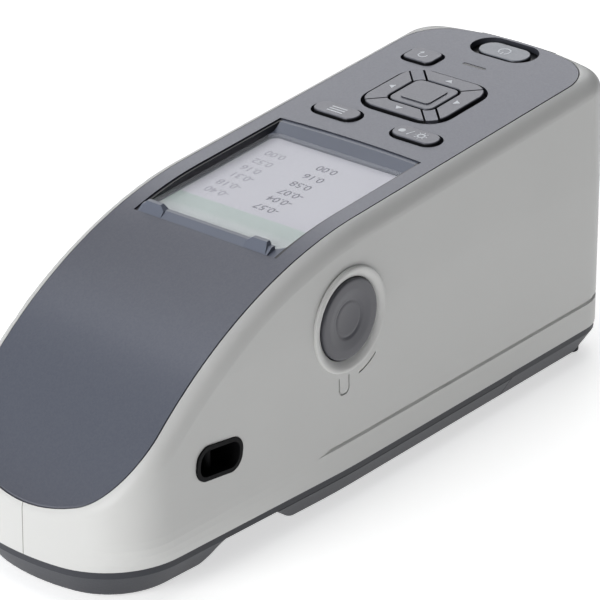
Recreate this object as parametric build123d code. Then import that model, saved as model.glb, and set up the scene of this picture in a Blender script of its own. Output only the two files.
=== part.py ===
from build123d import *
import os
from math import cos, radians, sin, sqrt, tan

# A hand-held spectrophotometer: a low nose at -X, the tall measuring end at +X, +Z up.
# The origin is on the surface that it rests on, in the middle of its length and width.
# All sizes are in millimetres.

# Body seen from above
body_length = 211.5
half_length = body_length / 2
body_width = 70.0
nose_narrowing = 4.0
nose_width = body_width - nose_narrowing
nose_bow = 7.0
tail_bow = 6.0
nose_corner_radius = 18.0
nose_tuck = 2.5
nose_tuck_round = 6.0
nose_tuck_height = 20.0
nose_tuck_steps = 4
tail_corner_radius = 13.0
taper_setback = 123.75
taper_start = half_length - taper_setback
taper_blend_radius = 250.0
wall = 2.2

# Body seen from the side
parting_height = 10.5
strip_height = 2.0
underside_height = 0.8
lean_height = 55.0
lean_inset = 0.7
lean_top = 96.0
lean_top_inset = 2.6
tail_lean = 0.4
port_proud = 0.25
top_slope = radians(3.7)
crest_setback = 115.75
crest_x = half_length - crest_setback
crest_height = 78.3
nose_drop = 43.6
nose_reach = half_length + crest_x
nose_curve_radius = (nose_reach**2 + nose_drop**2) / (2 * nose_drop)
nose_arc_end = radians(80)
edge_radius = 5.0

# Top panel
panel_thickness = 1.8
panel_gap = 0.3
panel_side_rim = 6.0
panel_nose_side_rim = 4.1
panel_width = body_width - 2 * panel_side_rim
panel_nose_width = nose_width - 2 * panel_nose_side_rim
panel_nose_rim = 0.9
panel_tail_rim = 4.3
panel_nose_corner = 17.0
panel_tail_corner = 15.0
ledge_width = 2.4
ledge_thickness = 1.6

# Gaps between pieces
moving_gap = 0.3
seat_gap = 0.1

# Dark base
base_inset = 5.0
strip_inset = 0.3
base_edge_radius = 2.5
base_wall = 1.8
foot_length = 45.75
foot_end = foot_length - half_length
door_length = 83.1
door_setback = 51.75
door_end = half_length - door_setback
door_start = door_end - door_length
foot_slant = 14.0
door_slant = 24.8
sweep_sink = 0.3
door_grip_count = 5
door_grip_pitch = 2.4
door_grip_width = 28.0
door_grip_radius = 0.8
door_grip_setback = 12.0
rib_height = 2.0
rib_thickness = 1.15
foot_pad_radius = 4.5
foot_pad_sink = 0.6
front_pad_lead = 26.0
front_pad_inset = 18.0
rear_pad_setback = 16.0
rear_pad_inset = 15.4
front_pad_x = foot_end - front_pad_lead
front_pad_y = nose_width / 2 - front_pad_inset
rear_pad_x = half_length - rear_pad_setback
rear_pad_y = body_width / 2 - rear_pad_inset

# Batteries
cell_radius = 7.15
cell_length = 50.5
cell_pitch = 14.8
cell_height = 10.6
cell_setback = 126.25
cell_start = half_length - cell_setback
cell_nub_radius = 2.7
cell_nub_height = 1.2
cell_room = 0.4
holder_wall = 1.2
holder_flange = 2.0
holder_side_room = 1.0
cell_count = int((body_width - 2 * (wall + holder_side_room + cell_room + holder_wall)) // cell_pitch)
contact_room = 3.0
contact_radius = 3.6
contact_thickness = 0.5

# Display
display_length = 52.5
display_setback = 85.15
display_far = half_length - display_setback
display_near = display_far - display_length
display_side_rim = 5.8
display_width = panel_width - 2 * display_side_rim
display_corner = 3.0
display_depth = 2.1
recess_slope_length = 3.6
recess_far = display_far + recess_slope_length
recess_far_bow = 0.9
recess_side_room = 0.3
recess_width = display_width + 2 * recess_side_room
window_thickness = 1.2
bezel_depth = 4.2
bezel_rim = 0.6
bezel_rim_sink = 0.4
bezel_flange_lead = 6.0
display_overlap = 0.4
display_post_radius = 1.8
display_post_leads = 17.9, 43.9
display_post_x = [display_near + lead for lead in display_post_leads]
display_board_margin = 1.6
lip_side_gap = 1.2
lip_width = display_width - 2 * lip_side_gap
lip_shift = 1.0
lip_height = 0.8
lip_end_height = 1.9
lip_end_width = 8.0
lip_end_run = 1.6
lip_depth = 3.4
lip_top_width = 1.2
lip_foot_sink = 0.6
lip_gap = 0.1
bezel_near = display_near - lip_gap - lip_depth
lcd_thickness = 2.2
lcd_gap = 0.1
backlight_thickness = 1.4
backlight_gap = 0.2
board_thickness = 1.6

# Keys, in the plane of the panel's straight part
key_travel = 0.5
key_proud = 0.7
key_gap = 0.6
cap_gap = 0.9
key_flange = 0.7
key_flange_thickness = 0.9
membrane_thickness = 0.8
membrane_gap = 0.1
key_edge_radius = 0.35
menu_key_setback = 69.35
menu_key_x = half_length - menu_key_setback
menu_key_inset = 15.4
menu_key_y = panel_width / 2 - menu_key_inset
menu_key_length = 16.5
menu_key_width = 8.2
corner_key_setback = 27.75
corner_key_x = half_length - corner_key_setback
corner_key_inset = 12.8
corner_key_y = panel_width / 2 - corner_key_inset
corner_key_length = 11.7
corner_key_width = 9.4
corner_key_corner = 3.0
power_key_setback = 11.05
power_key_x = half_length - power_key_setback
power_pocket_length = 21.4
power_pocket_width = 12.0
power_key_length = 16.2
power_key_width = 8.2
power_key_drop = 0.4
nav_setback = 48.15
nav_x = half_length - nav_setback
nav_length = 29.6
nav_width = 29.0
nav_corner = 7.6
nav_gap = 1.1
select_size = 14.8
select_corner = 2.5
nav_cut = 0.6
nav_filler = 3.4
select_raised_size = 9.8
select_raised_height = 0.3
light_setback = 24.55
light_x = half_length - light_setback
light_y = 0.5
light_length = 8.0
light_width = 1.3
light_gap = 0.1
key_board_margin = 2.4
key_board_lead = 6.6
key_board_tail = 1.8
key_board_start = menu_key_x - menu_key_width / 2 - key_board_lead
key_board_end = power_key_x + key_board_tail

# Measuring button on the right side
button_setback = 123.35
button_x = half_length - button_setback
button_height = 53.4
button_radius = 11.2
button_travel = 1.6
button_thickness = 3.6
button_sink = 0.5
button_dish_depth = 1.0
button_dish_radius = 34.0
button_dimple_radius = 5.2
button_dimple_width = 0.5
button_dimple_depth = 0.4
ring_radius = 14.6
ring_neck_radius = 12.9
ring_proud = 0.65
stem_radius = 3.0
stem_length = 3.0
spring_turns = 4
spring_radius = 4.8
spring_wire_radius = 0.3
switch_size = 6.0
switch_play = 0.15
switch_board_gap = 9.3
switch_board_size = 30.0
switch_board_drop = 7.0
mark_depth = 0.35
mark_width = 0.5
mark_drop = 2.6
lug_width = 4.4
lug_height = 7.0

# Strap slot on the right side
slot_lead = 37.25
slot_x = slot_lead - half_length
slot_height = 33.4
slot_length = 17.5
slot_width = 9.6
slot_tilt = 8.0
slot_depth = 10.0
slot_wall = 1.2
slot_sink = 1.0
slot_corner = 4.2
strap_bar_radius = 1.25
bar_gap = 0.02

# Groove along both sides
groove_height = 18.8
groove_width = 1.5
groove_depth = 0.45
groove_steps = 3
groove_fade = 3.0
groove_lead = 19.0
groove_start = taper_start - groove_lead

# Measuring port
port_height = 45.0
port_ring_radius = 23.5
port_ring_wall = 4.0
port_ring_depth = 6.5
port_ring_sink = 0.4
port_edge_radius = 0.9
mask_depth = 4.0
mask_notch_radius = 3.6
mask_notch_depth = 1.6
aperture_radius = 5.5
sphere_radius = 20.0
sphere_wall = 2.0
sphere_neck = 3.0
sphere_flange = 3.0
sphere_flange_thickness = 2.0
fit_gap = 0.05
lamp_x_offset = -9.0
lamp_housing_radius = 6.0
lamp_housing_rise = 5.0
lamp_housing_wall = 1.2
lamp_radius = 2.2
lamp_length = 7.5
lamp_board_width = 21.0
receiver_radius = 6.0
receiver_wall = 1.4
receiver_length = 13.0
receiver_angle = 8.0
lens_thickness = 3.0

# Inner frame and boards
chassis_height = 20.5
chassis_thickness = 2.0
chassis_setback = 107.75
chassis_start = half_length - chassis_setback
chassis_end = half_length - 12.0
chassis_width = 50.0
saddle_width = 34.0
saddle_length = 12.0
spectrometer_length = 44.0
spectrometer_width = 30.0
spectrometer_height = 26.0
spectrometer_rise = 7.0
spectrometer_lead = 6.0
spectrometer_foot_length = 8.0
spectrometer_wall = 2.5
spectrometer_cover_thickness = 1.5
grating_thickness = 4.0
grating_width = 16.0
grating_curve = 40.0
sensor_length = 20.0
sensor_height = 6.0
sensor_thickness = 2.4
capacitor_radius = 7.0
capacitor_length = 32.0
capacitor_gap = 0.6
power_board_width = 12.0
power_board_height = 20.0
main_board_setback = 177.75
main_board_gap = 4.0
main_board_start = half_length - main_board_setback
main_board_end = chassis_start - main_board_gap
main_board_height = 22.0
board_width = 50.0
post_radius = 2.2
post_inset = 3.0
boss_width = 7.2
boss_depth = 4.0
boss_inset = 7.5
front_boss_lead = 40.0
middle_boss_lead = 8.0
rear_boss_setback = 14.0
boss_x = (taper_start - front_boss_lead, door_end - middle_boss_lead, half_length - rear_boss_setback)

# Connector flap on the left side
flap_setback = 151.75
flap_x = half_length - flap_setback
flap_length = 30.0
flap_height = 13.6
flap_thickness = 1.6
flap_axis_height = 23.2
flap_pin_radius = 0.8
flap_pin_length = 1.8
flap_pin_gap = 0.06
flap_sink = 0.5
flap_boss_width = 3.0
flap_tab_width = 8.0
flap_tab_height = 1.5
flap_low_gap = 0.6
flap_high_gap = 1.1
socket_sink = 1.0
usb_offset = -6.5
usb_width = 8.0
usb_height = 4.4
usb_depth = 14.7
usb_wall = 0.6
power_socket_offset = 6.25
power_socket_width = 9.5
power_socket_height = 8.6
power_socket_depth = 15.7
power_socket_hole = 3.1
power_socket_pin = 0.8

# Screws
screw_head_radius = 2.8
screw_head_height = 1.6
screw_shank_radius = 1.2
screw_thread_gap = 0.05
screw_hole_gap = 0.2
small_head_radius = 2.1
small_head_height = 1.0
small_screw_bite = 1.2
board_screw_bite = 5.0
screw_length = 9.0
screw_cross_length = 3.2
screw_cross_width = 0.6
screw_cross_depth = 0.9

top_curve_x = crest_x + nose_curve_radius * sin(top_slope)
top_curve_z = crest_height - nose_curve_radius * cos(top_slope)


def line_height(x):
    """Height of the top's straight line at x."""
    return crest_height + (x - crest_x) * tan(top_slope)


panel_plane = Plane(
    origin=(0, 0, line_height(0)),
    x_dir=(cos(top_slope), 0, sin(top_slope)),
    z_dir=(-sin(top_slope), 0, cos(top_slope)),
)


def on_panel(shape):
    """Move a shape from the panel's own frame to its place."""
    return panel_plane.location * shape


def block(x0, x1, y0, y1, z0, z1):
    """A box between two corners."""
    box = Box(x1 - x0, y1 - y0, z1 - z0)
    return Pos((x0 + x1) / 2, (y0 + y1) / 2, (z0 + z1) / 2) * box


def rod_x(x0, x1, y, z, radius):
    """A round bar along X."""
    return Pos((x0 + x1) / 2, y, z) * Rot(0, 90, 0) * Cylinder(radius, x1 - x0)


def rod_y(x, y0, y1, z, radius):
    """A round bar along Y."""
    return Pos(x, (y0 + y1) / 2, z) * Rot(90, 0, 0) * Cylinder(radius, y1 - y0)


def rod_z(x, y, z0, z1, radius):
    """A round bar along Z."""
    return Pos(x, y, (z0 + z1) / 2) * Cylinder(radius, z1 - z0)


def side_prism(points, half_width):
    """A prism across the body, from points given as x and z."""
    outline = Polyline(*[(x, 0, z) for x, z in points], close=True)
    return extrude(make_face(outline), amount=half_width, both=True)


def outline(z, nose_x, tail_x, half_tall, half_nose, front_bow, rear_bow, nose_round, tail_round):
    """The body's or the panel's outline seen from above, as a face."""
    nose_points = [(nose_x + front_bow, -half_nose), (nose_x + front_bow, half_nose)]
    tail_points = [(tail_x - rear_bow, -half_tall), (tail_x - rear_bow, half_tall)]
    kink_points = [(taper_start, -half_tall), (taper_start, half_tall)]
    lines = [
        ThreePointArc(nose_points[0], (nose_x, 0), nose_points[1]),
        Line(nose_points[1], kink_points[1]),
        Line(kink_points[1], tail_points[1]),
        ThreePointArc(tail_points[1], (tail_x, 0), tail_points[0]),
        Line(tail_points[0], kink_points[0]),
        Line(kink_points[0], nose_points[0]),
    ]
    face = make_face(Curve() + lines)
    for points, radius in (
        (nose_points, nose_round),
        (tail_points, tail_round),
        (kink_points, taper_blend_radius),
    ):
        corners = [face.vertices().sort_by_distance((x, y, 0))[0] for x, y in points]
        face = fillet(corners, radius)
    return Pos(0, 0, z) * face


def body_outline(z, inset, side_lean, end_lean, tuck):
    """The body's outline at one height, moved inwards by an inset, by the sides' lean and at the nose."""
    return outline(
        z,
        -half_length + inset + side_lean,
        half_length - port_proud - inset - end_lean,
        body_width / 2 - inset - side_lean,
        nose_width / 2 - inset - side_lean - tuck * nose_tuck,
        nose_bow,
        tail_bow,
        nose_corner_radius - inset - side_lean + tuck * nose_tuck_round,
        tail_corner_radius - inset - side_lean,
    )


def body_section(z, inset):
    """The body's outline at a height from the parting line to the lean line."""
    share = (z - parting_height) / (lean_height - parting_height)
    tuck = max(0, (nose_tuck_height - z) / (nose_tuck_height - parting_height))
    return body_outline(z, inset, lean_inset * share, tail_lean * (1 - share / 2), tuck**2)


def body_stack(inset):
    """The body's sides, from the parting line to above its top."""
    step = (nose_tuck_height - parting_height) / nose_tuck_steps
    heights = [parting_height + step * number for number in range(nose_tuck_steps + 1)]
    sections = [body_section(z, inset) for z in heights + [lean_height]]
    sections.append(body_outline(lean_top, inset, lean_top_inset, 0, 0))
    stack = loft(sections[:2], ruled=True)
    for number in range(1, len(sections) - 1):
        stack += loft(sections[number:number + 2], ruled=True)
    return stack


def under_top(drop):
    """All space under the top line lowered by a drop: a straight run and one long arc."""
    radius = nose_curve_radius - drop
    middle_angle = (top_slope + nose_arc_end) / 2
    crest = (top_curve_x - radius * sin(top_slope), top_curve_z + radius * cos(top_slope))
    middle = (top_curve_x - radius * sin(middle_angle), top_curve_z + radius * cos(middle_angle))
    nose = (top_curve_x - radius * sin(nose_arc_end), top_curve_z + radius * cos(nose_arc_end))
    tail_x = half_length + body_width
    tail = (tail_x, crest[1] + (tail_x - crest[0]) * tan(top_slope))
    low = -body_width
    lines = [
        ThreePointArc(nose, middle, crest),
        Line(crest, tail),
        Line(tail, (tail_x, low)),
        Line((tail_x, low), (nose[0], low)),
        Line((nose[0], low), nose),
    ]
    profile = Plane.XZ * make_face(Curve() + lines)
    return extrude(profile, amount=body_width, both=True)


def panel_prism(inset):
    """The panel's outline, as a prism through the whole body."""
    face = outline(
        0,
        -half_length + panel_nose_rim + inset,
        half_length - panel_tail_rim - inset,
        panel_width / 2 - inset,
        panel_nose_width / 2 - inset,
        nose_bow,
        tail_bow,
        panel_nose_corner - inset,
        panel_tail_corner - inset,
    )
    return extrude(face, amount=lean_top + body_width)


def one_solid(shape):
    """The single largest solid of a shape."""
    return shape.solids().sort_by(SortBy.VOLUME)[-1]


def body_envelope():
    """The case's outer form, with its top edges rounded."""
    envelope = one_solid(body_stack(0) & under_top(0))
    top_faces = []
    for face in envelope.faces():
        normal = face.normal_at()
        if normal.Z > 0.3 and abs(normal.Y) < 0.02:
            top_faces.append(face)
    rim = []
    for edge in envelope.edges():
        touching = [face for face in top_faces if any(edge.is_same(other) for other in face.edges())]
        if len(touching) == 1:
            rim.append(edge)
    return envelope.fillet(edge_radius, rim)


envelope = body_envelope()


def side_y(z):
    """Half width of the straight sides at a height up to the lean line."""
    share = (z - parting_height) / (lean_height - parting_height)
    return body_width / 2 - lean_inset * share


# Case shells

def slot_prism(y0, y1, grow):
    """The strap slot's shape between two depths."""
    face = Rot(90, 0, 0) * RectangleRounded(
        slot_length + 2 * grow, slot_width + 2 * grow, slot_corner + grow
    )
    prism = extrude(face, amount=(y1 - y0) / 2, both=True)
    return Pos(slot_x, (y0 + y1) / 2, slot_height) * Rot(0, slot_tilt, 0) * prism


def boss_places():
    """Where the case screws stand: x, y and the height of each head's seat."""
    cover_seat = parting_height - strip_height
    rear_seat = underside_height + base_wall - screw_head_height
    places = []
    for x, seat in zip(boss_x, (cover_seat, cover_seat, rear_seat)):
        for side in (-1, 1):
            places.append((x, side * (body_width / 2 - boss_inset), seat))
    return places


boss_top = chassis_height - moving_gap


def screw_bosses():
    """Blocks on the inside of the shells that the case screws enter."""
    bosses = []
    for x, y, seat in boss_places():
        side = 1 if y > 0 else -1
        low_y, high_y = sorted((y - side * boss_depth, side * (body_width - wall) / 2))
        bosses.append(block(x - boss_width / 2, x + boss_width / 2, low_y, high_y, parting_height, boss_top))
    return bosses


def flap_opening():
    """The opening in the left shell behind the connector flap."""
    half = flap_length / 2 + moving_gap
    low = flap_axis_height - flap_pin_radius - flap_low_gap
    high = low + flap_height + flap_high_gap
    return block(flap_x - half, flap_x + half, body_width / 4, body_width, low, high)


def flap_bosses():
    """Two small blocks beside the opening that hold the flap's pins."""
    bosses = []
    for side in (-1, 1):
        near = flap_x + side * (flap_length / 2 + moving_gap)
        x0, x1 = sorted((near, near + side * flap_boss_width))
        low, high = flap_axis_height - flap_boss_width / 2, flap_axis_height + flap_boss_width / 2
        bosses.append(block(x0, x1, flap_pin_y - flap_boss_width, flap_pin_y + flap_thickness / 2, low, high))
    return bosses


flap_pin_y = side_y(flap_axis_height) - flap_sink - flap_thickness / 2


def groove_band(depth, height):
    """One level band of the groove: the space outside the body's section drawn in by the depth."""
    low, high = groove_height - height / 2, groove_height + height / 2
    band = block(taper_start, half_length + wall, -body_width, body_width, low, high)
    for side in (-1, 1):
        y0, y1 = sorted((0, side * body_width))
        wedge = block(0, groove_lead + wall, y0, y1, low, high)
        wedge = Rot(0, 0, -side * groove_fade) * wedge
        band += Pos(groove_start, side * side_y(groove_height), 0) * wedge
    return band - extrude(body_section(groove_height, depth), height, both=True)


def side_groove():
    """The soft groove along the sides and the tail, as bands that narrow with depth."""
    bands = []
    for step in range(groove_steps):
        depth = groove_depth * (step + 1) / groove_steps
        bands.append(groove_band(depth, groove_width * (1 - step / groove_steps)))
    return bands


def case_shell():
    """Both shells as one form, before they are parted on the centre plane."""
    cavity = body_stack(wall) & under_top(panel_thickness + ledge_thickness)
    panel_seat = panel_prism(-panel_gap) - under_top(panel_thickness)
    panel_well = panel_prism(ledge_width) - under_top(panel_thickness + ledge_thickness + wall)
    shell = envelope - cavity
    for boss in screw_bosses() + flap_bosses():
        shell += boss & envelope
    shell = shell - panel_seat - panel_well
    power_room = on_panel(
        block(
            power_key_x - power_pocket_width / 2 - 2,
            power_key_x + power_pocket_width / 2 + key_flange + moving_gap,
            -power_pocket_length / 2 - 2,
            power_pocket_length / 2 + 2,
            -2 * ledge_thickness - panel_thickness,
            0,
        )
    )
    shell -= power_room
    for band in side_groove():
        shell -= band
    port_start = half_length - 3 * wall - tail_bow
    shell -= rod_x(port_start, half_length + wall, 0, port_height, port_ring_radius + seat_gap)
    for x, y, seat in boss_places():
        shell -= rod_z(x, y, parting_height, boss_top - 0.5, screw_shank_radius + screw_thread_gap)
    return shell


def index_marks():
    """Shallow marks under the button's ring: a small lug outline and a short arc."""
    corner = 0.43 * lug_width
    inner_width, inner_height = lug_width - 2 * mark_width, lug_height - 2 * mark_width
    lug = RectangleRounded(lug_width, lug_height, corner)
    lug -= RectangleRounded(inner_width, inner_height, corner - mark_width)
    lug -= Pos(0, lug_height / 2) * Rectangle(lug_width * 2, lug_height / 2)
    arc = Circle(ring_radius + mark_drop) - Circle(ring_radius + mark_drop - mark_width)
    arc &= Pos(lug_height, -ring_radius) * Rectangle(lug_height, lug_height)
    face_y = -side_y(button_height)
    depth = 1 + mark_depth
    lug_cut = extrude(Rot(90, 0, 0) * lug, amount=depth, both=True)
    arc_cut = extrude(Rot(90, 0, 0) * arc, amount=depth, both=True)
    lug_cut = Pos(button_x - mark_drop, face_y - 1, button_height - ring_radius - mark_drop) * lug_cut
    return lug_cut + Pos(button_x, face_y - 1, button_height) * arc_cut


def right_shell(shell):
    """The shell with the measuring button and the strap slot."""
    half = shell & block(-body_length, body_length, -body_width, 0, 0, lean_top)
    half -= rod_y(button_x, -body_width, -body_width / 4, button_height, ring_neck_radius + seat_gap)
    half -= slot_prism(-body_width, -body_width / 4, seat_gap)
    half -= index_marks()
    reach = switch_board_size / 2 - 3
    for dx in (-reach, reach):
        for dz in (-reach, reach):
            half += rod_y(
                button_x + dx, -side_y(button_height) + wall / 2, switch_board_y - board_thickness,
                button_height + dz, post_radius,
            )
    return half


def left_shell(shell):
    """The shell with the connector opening."""
    half = shell & block(-body_length, body_length, 0, body_width, 0, lean_top)
    half -= flap_opening() - block(-body_length, body_length, 0, flap_pin_y - 3, 0, lean_top)
    reach = flap_length / 2 + 2 * moving_gap + flap_pin_length
    hole_radius = flap_pin_radius + flap_pin_gap
    return half - rod_x(flap_x - reach, flap_x + reach, flap_pin_y, flap_axis_height, hole_radius)


switch_board_y = -side_y(button_height) + switch_board_gap + board_thickness


# Top panel

def stadium(length, width, x, y, z0, z1):
    """A stadium prism in the panel's frame, long across the body."""
    face = Pos(x, y, z0) * Rot(0, 0, 90) * SlotOverall(length, width)
    return extrude(face, amount=z1 - z0)


def rounded(length, width, corner, x, y, z0, z1):
    """A rounded rectangle prism in the panel's frame; length is across the body."""
    face = Pos(x, y, z0) * RectangleRounded(width, length, corner)
    return extrude(face, amount=z1 - z0)


def menu_keys():
    """The two stadium keys: node name and y."""
    return (("menu_key", menu_key_y), ("backlight_key", -menu_key_y))


def key_pockets(z0, z1):
    """Every hole in the panel that a key or the light stands in, in the panel's frame."""
    holes = [stadium(menu_key_length, menu_key_width, menu_key_x, y, z0, z1) for name, y in menu_keys()]
    corner = corner_key_corner
    holes.append(rounded(corner_key_length, corner_key_width, corner, corner_key_x, corner_key_y, z0, z1))
    holes.append(stadium(power_pocket_length, power_pocket_width, power_key_x, 0, z0, z1))
    holes.append(rounded(nav_length, nav_width, nav_corner, nav_x, 0, z0, z1))
    holes.append(stadium(light_length, light_width, light_x, light_y, z0, z1))
    return holes


def panel_posts():
    """Where the two boards under the panel are screwed: x, y and the depth of their seat."""
    near = key_board_start + key_board_margin
    far = key_board_end - key_board_margin - post_radius * 2
    edge = board_width / 2 - key_board_margin
    return [(x, y, key_board_top) for x in (near, far) for y in (-edge, edge)]


key_base = -(panel_thickness + moving_gap + key_flange_thickness)
key_board_top = key_base - key_travel - membrane_gap - membrane_thickness


def top_panel():
    """The curved grey sheet that carries the display and the keys."""
    sheet = panel_prism(0) & (under_top(0) - under_top(panel_thickness))
    window = Pos(0, 0, -bezel_depth * 2) * recess_face(bezel_near - seat_gap, bezel_rim + seat_gap)
    sheet -= on_panel(extrude(window, amount=bezel_depth * 3))
    for hole in key_pockets(-2 * panel_thickness, panel_thickness):
        sheet -= on_panel(hole)
    for x, y, seat in panel_posts():
        post = rod_z(x, y, seat, -panel_thickness / 2, post_radius)
        post -= rod_z(x, y, seat, -panel_thickness, screw_shank_radius + screw_thread_gap)
        sheet += on_panel(post)
    return sheet


# Display

def recess_face(near, grow):
    """The recess seen from above: its far edge is bowed outwards."""
    half = recess_width / 2 + grow
    far = recess_far + grow
    lines = [
        Line((near, half), (near, -half)),
        Line((near, -half), (far, -half)),
        ThreePointArc((far, -half), (far + recess_far_bow, 0), (far, half)),
        Line((far, half), (near, half)),
    ]
    return make_face(Curve() + lines)


def display_bezel():
    """The frame round the display: a sloping far wall, low side walls, a flange and the lip bar."""
    body = extrude(Pos(0, 0, -bezel_depth) * recess_face(bezel_near, bezel_rim), amount=bezel_depth)
    placed = on_panel(body) & under_top(bezel_rim_sink)
    flange_half = panel_width / 2 - ledge_width - moving_gap
    flange_near = display_near + bezel_flange_lead
    flange = block(flange_near, recess_far, -flange_half, flange_half, -bezel_depth, 0)
    placed += on_panel(flange) & under_top(panel_thickness + seat_gap)
    low = Pos(0, 0, -display_depth) * rect_between(display_near, display_far, display_width)
    hollow = loft([low, recess_face(display_near, 0)], ruled=True)
    hollow += display_slab(0, -display_depth - window_thickness, -display_depth + 0.01)
    hollow += display_slab(display_overlap, -2 * bezel_depth, -display_depth)
    placed -= on_panel(hollow)
    placed += on_panel(lip_bar())
    for x, y in display_posts():
        post = rod_z(x, y, display_board_top, -bezel_depth + 0.2, display_post_radius)
        post -= rod_z(x, y, display_board_top, -bezel_depth + 0.1, screw_shank_radius + screw_thread_gap)
        placed += on_panel(post)
    return placed


def display_slab(inset, z0, z1):
    """A slab with the display window's rounded outline, moved inwards by an inset."""
    face = Pos((display_near + display_far) / 2, 0, z0) * RectangleRounded(
        display_far - display_near - 2 * inset, display_width - 2 * inset, max(display_corner - inset, 0.5)
    )
    return extrude(face, amount=z1 - z0)


def rect_between(x0, x1, width):
    """A rectangle between two x values, centred across the body."""
    return Pos((x0 + x1) / 2, 0) * Rectangle(x1 - x0, width)


def lip_bar():
    """The bar at the display's near edge, with a taller block at each end; its front face slopes."""
    back = display_near - lip_gap
    front = bezel_near
    foot = -bezel_depth + 0.2
    front_level = -display_depth - lip_foot_sink
    low_top = -display_depth + lip_height
    high_top = -display_depth + lip_end_height
    half = lip_width / 2

    def profile(top):
        shoulder = back - lip_top_width
        points = [(back, foot), (back, top), (shoulder, top), (front, front_level), (front, foot)]
        return side_prism(points, half)

    bar = profile(low_top)
    tall = profile(high_top)
    for side in (-1, 1):
        outer, inner = side * half, side * (half - lip_end_width)
        run = side * lip_end_run
        points = [(outer, foot), (outer - run, high_top), (inner + run, high_top)]
        points += [(inner, low_top), (inner, foot)]
        section = make_face(Polyline(*[(back, y, z) for y, z in points], close=True))
        bar += tall & extrude(section, amount=lip_depth, both=True)
    return Pos(0, lip_shift, 0) * bar


lcd_top = -display_depth - window_thickness - lcd_gap
display_board_top = lcd_top - lcd_thickness - backlight_thickness - backlight_gap


def display_posts():
    """Where the display board is screwed to the bezel."""
    edge = display_width / 2 - display_overlap + display_post_radius + moving_gap
    return [(x, side * edge) for x in display_post_x for side in (-1, 1)]


def display_window():
    """The clear window over the display."""
    return display_slab(seat_gap, -display_depth - window_thickness, -display_depth)


def lcd_panel():
    """The liquid crystal display under the window."""
    return display_slab(display_overlap + 2 * lcd_gap, lcd_top - lcd_thickness, lcd_top)


def backlight():
    """The light guide behind the display."""
    top = lcd_top - lcd_thickness
    return display_slab(2 * display_overlap, top - backlight_thickness, top)


def display_board():
    """The board that carries the display."""
    half = max(y for x, y in display_posts()) + display_board_margin
    low = display_board_top - board_thickness
    board = block(display_near, recess_far, -half, half, low, display_board_top)
    for x, y in display_posts():
        board -= rod_z(x, y, low, display_board_top, screw_shank_radius + screw_hole_gap)
    return board


# Keys

def key_body(face, flange_face, top):
    """A key: its cap and the flange that keeps it under the panel."""
    cap = extrude(Pos(0, 0, key_base) * face, amount=top - key_base)
    flange = extrude(Pos(0, 0, key_base) * flange_face, amount=key_flange_thickness)
    edges = cap.edges().group_by(Axis.Z)[-1]
    return fillet(edges, key_edge_radius) + flange


def menu_key(y):
    """One of the two keys beside the display."""
    face = Rot(0, 0, 90) * SlotOverall(menu_key_length - 2 * cap_gap, menu_key_width - 2 * cap_gap)
    flange = Rot(0, 0, 90) * SlotOverall(menu_key_length + 2 * key_flange, menu_key_width + 2 * key_flange)
    return Pos(menu_key_x, y, 0) * key_body(face, flange, key_proud)


def power_key():
    """The power key, lower than the rim of its oval pocket."""
    face = Rot(0, 0, 90) * SlotOverall(power_key_length, power_key_width)
    flange_length = power_pocket_length + 2 * key_flange
    flange = Rot(0, 0, 90) * SlotOverall(flange_length, power_pocket_width + 2 * key_flange)
    return Pos(power_key_x, 0, 0) * key_body(face, flange, -power_key_drop)


def corner_key():
    """The small key near the panel's far corner."""
    corner = corner_key_corner - cap_gap
    face = RectangleRounded(corner_key_width - 2 * cap_gap, corner_key_length - 2 * cap_gap, corner)
    flange = RectangleRounded(corner_key_width + 2 * key_flange, corner_key_length + 2 * key_flange, corner)
    return Pos(corner_key_x, corner_key_y, 0) * key_body(face, flange, key_proud)


def nav_ring(z0, z1, grow):
    """The square ring that the four arrow keys are cut from; it grows from the pocket's size."""
    outer = rounded(nav_length + 2 * grow, nav_width + 2 * grow, nav_corner + grow, 0, 0, z0, z1)
    hole = select_size + 2 * key_gap
    inner = rounded(hole, hole, select_corner + key_gap, 0, 0, z0 - 1, z1 + 1)
    return outer - inner


def nav_sector(turn):
    """The wedge of the ring that one arrow key fills, before the corner fillers are cut."""
    reach = nav_length
    face = make_face(Polyline((0, 0), (reach, -reach), (reach, reach), (0, 0)))
    wedge = extrude(Pos(0, 0, -bezel_depth * 2) * face, amount=bezel_depth * 4)
    return Rot(0, 0, turn) * (Pos(nav_cut / 2 * sqrt(2), 0, 0) * wedge)


def filler_bar(width):
    """A bar along the diagonal on which the two corner fillers stand."""
    bar = block(-nav_length, nav_length, -width / 2, width / 2, -bezel_depth * 2, bezel_depth * 2)
    return Rot(0, 0, 45) * bar


def nav_key(turn):
    """One arrow key; turn 0 is the key towards the tall end."""
    ring = nav_ring(key_base, key_proud, -nav_gap)
    top_edges = ring.edges().group_by(Axis.Z)[-1]
    ring = fillet(top_edges, key_edge_radius)
    key = (ring & nav_sector(turn)) - filler_bar(nav_filler + 2 * nav_cut)
    skirt = nav_ring(key_base, key_base + key_flange_thickness, key_flange) & nav_sector(turn)
    skirt -= filler_bar(nav_filler + 2 * nav_cut)
    return Pos(nav_x, 0, 0) * one_solid(key + skirt)


def nav_fillers():
    """The two fixed corner pieces between arrow keys, standing on the key board."""
    ring = nav_ring(key_board_top, key_proud - 0.2, -nav_gap)
    pieces = ring & filler_bar(nav_filler)
    return Pos(nav_x, 0, 0) * pieces


def select_key():
    """The square key in the middle, with a raised square on it."""
    face = RectangleRounded(select_size, select_size, select_corner)
    cap = extrude(Pos(0, 0, key_base) * face, amount=key_proud - key_base)
    cap = fillet(cap.edges().group_by(Axis.Z)[-1], key_edge_radius)
    raised = RectangleRounded(select_raised_size, select_raised_size, select_corner / 2)
    cap += extrude(Pos(0, 0, key_base) * raised, amount=key_proud + select_raised_height - key_base)
    return Pos(nav_x, 0, 0) * cap


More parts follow.
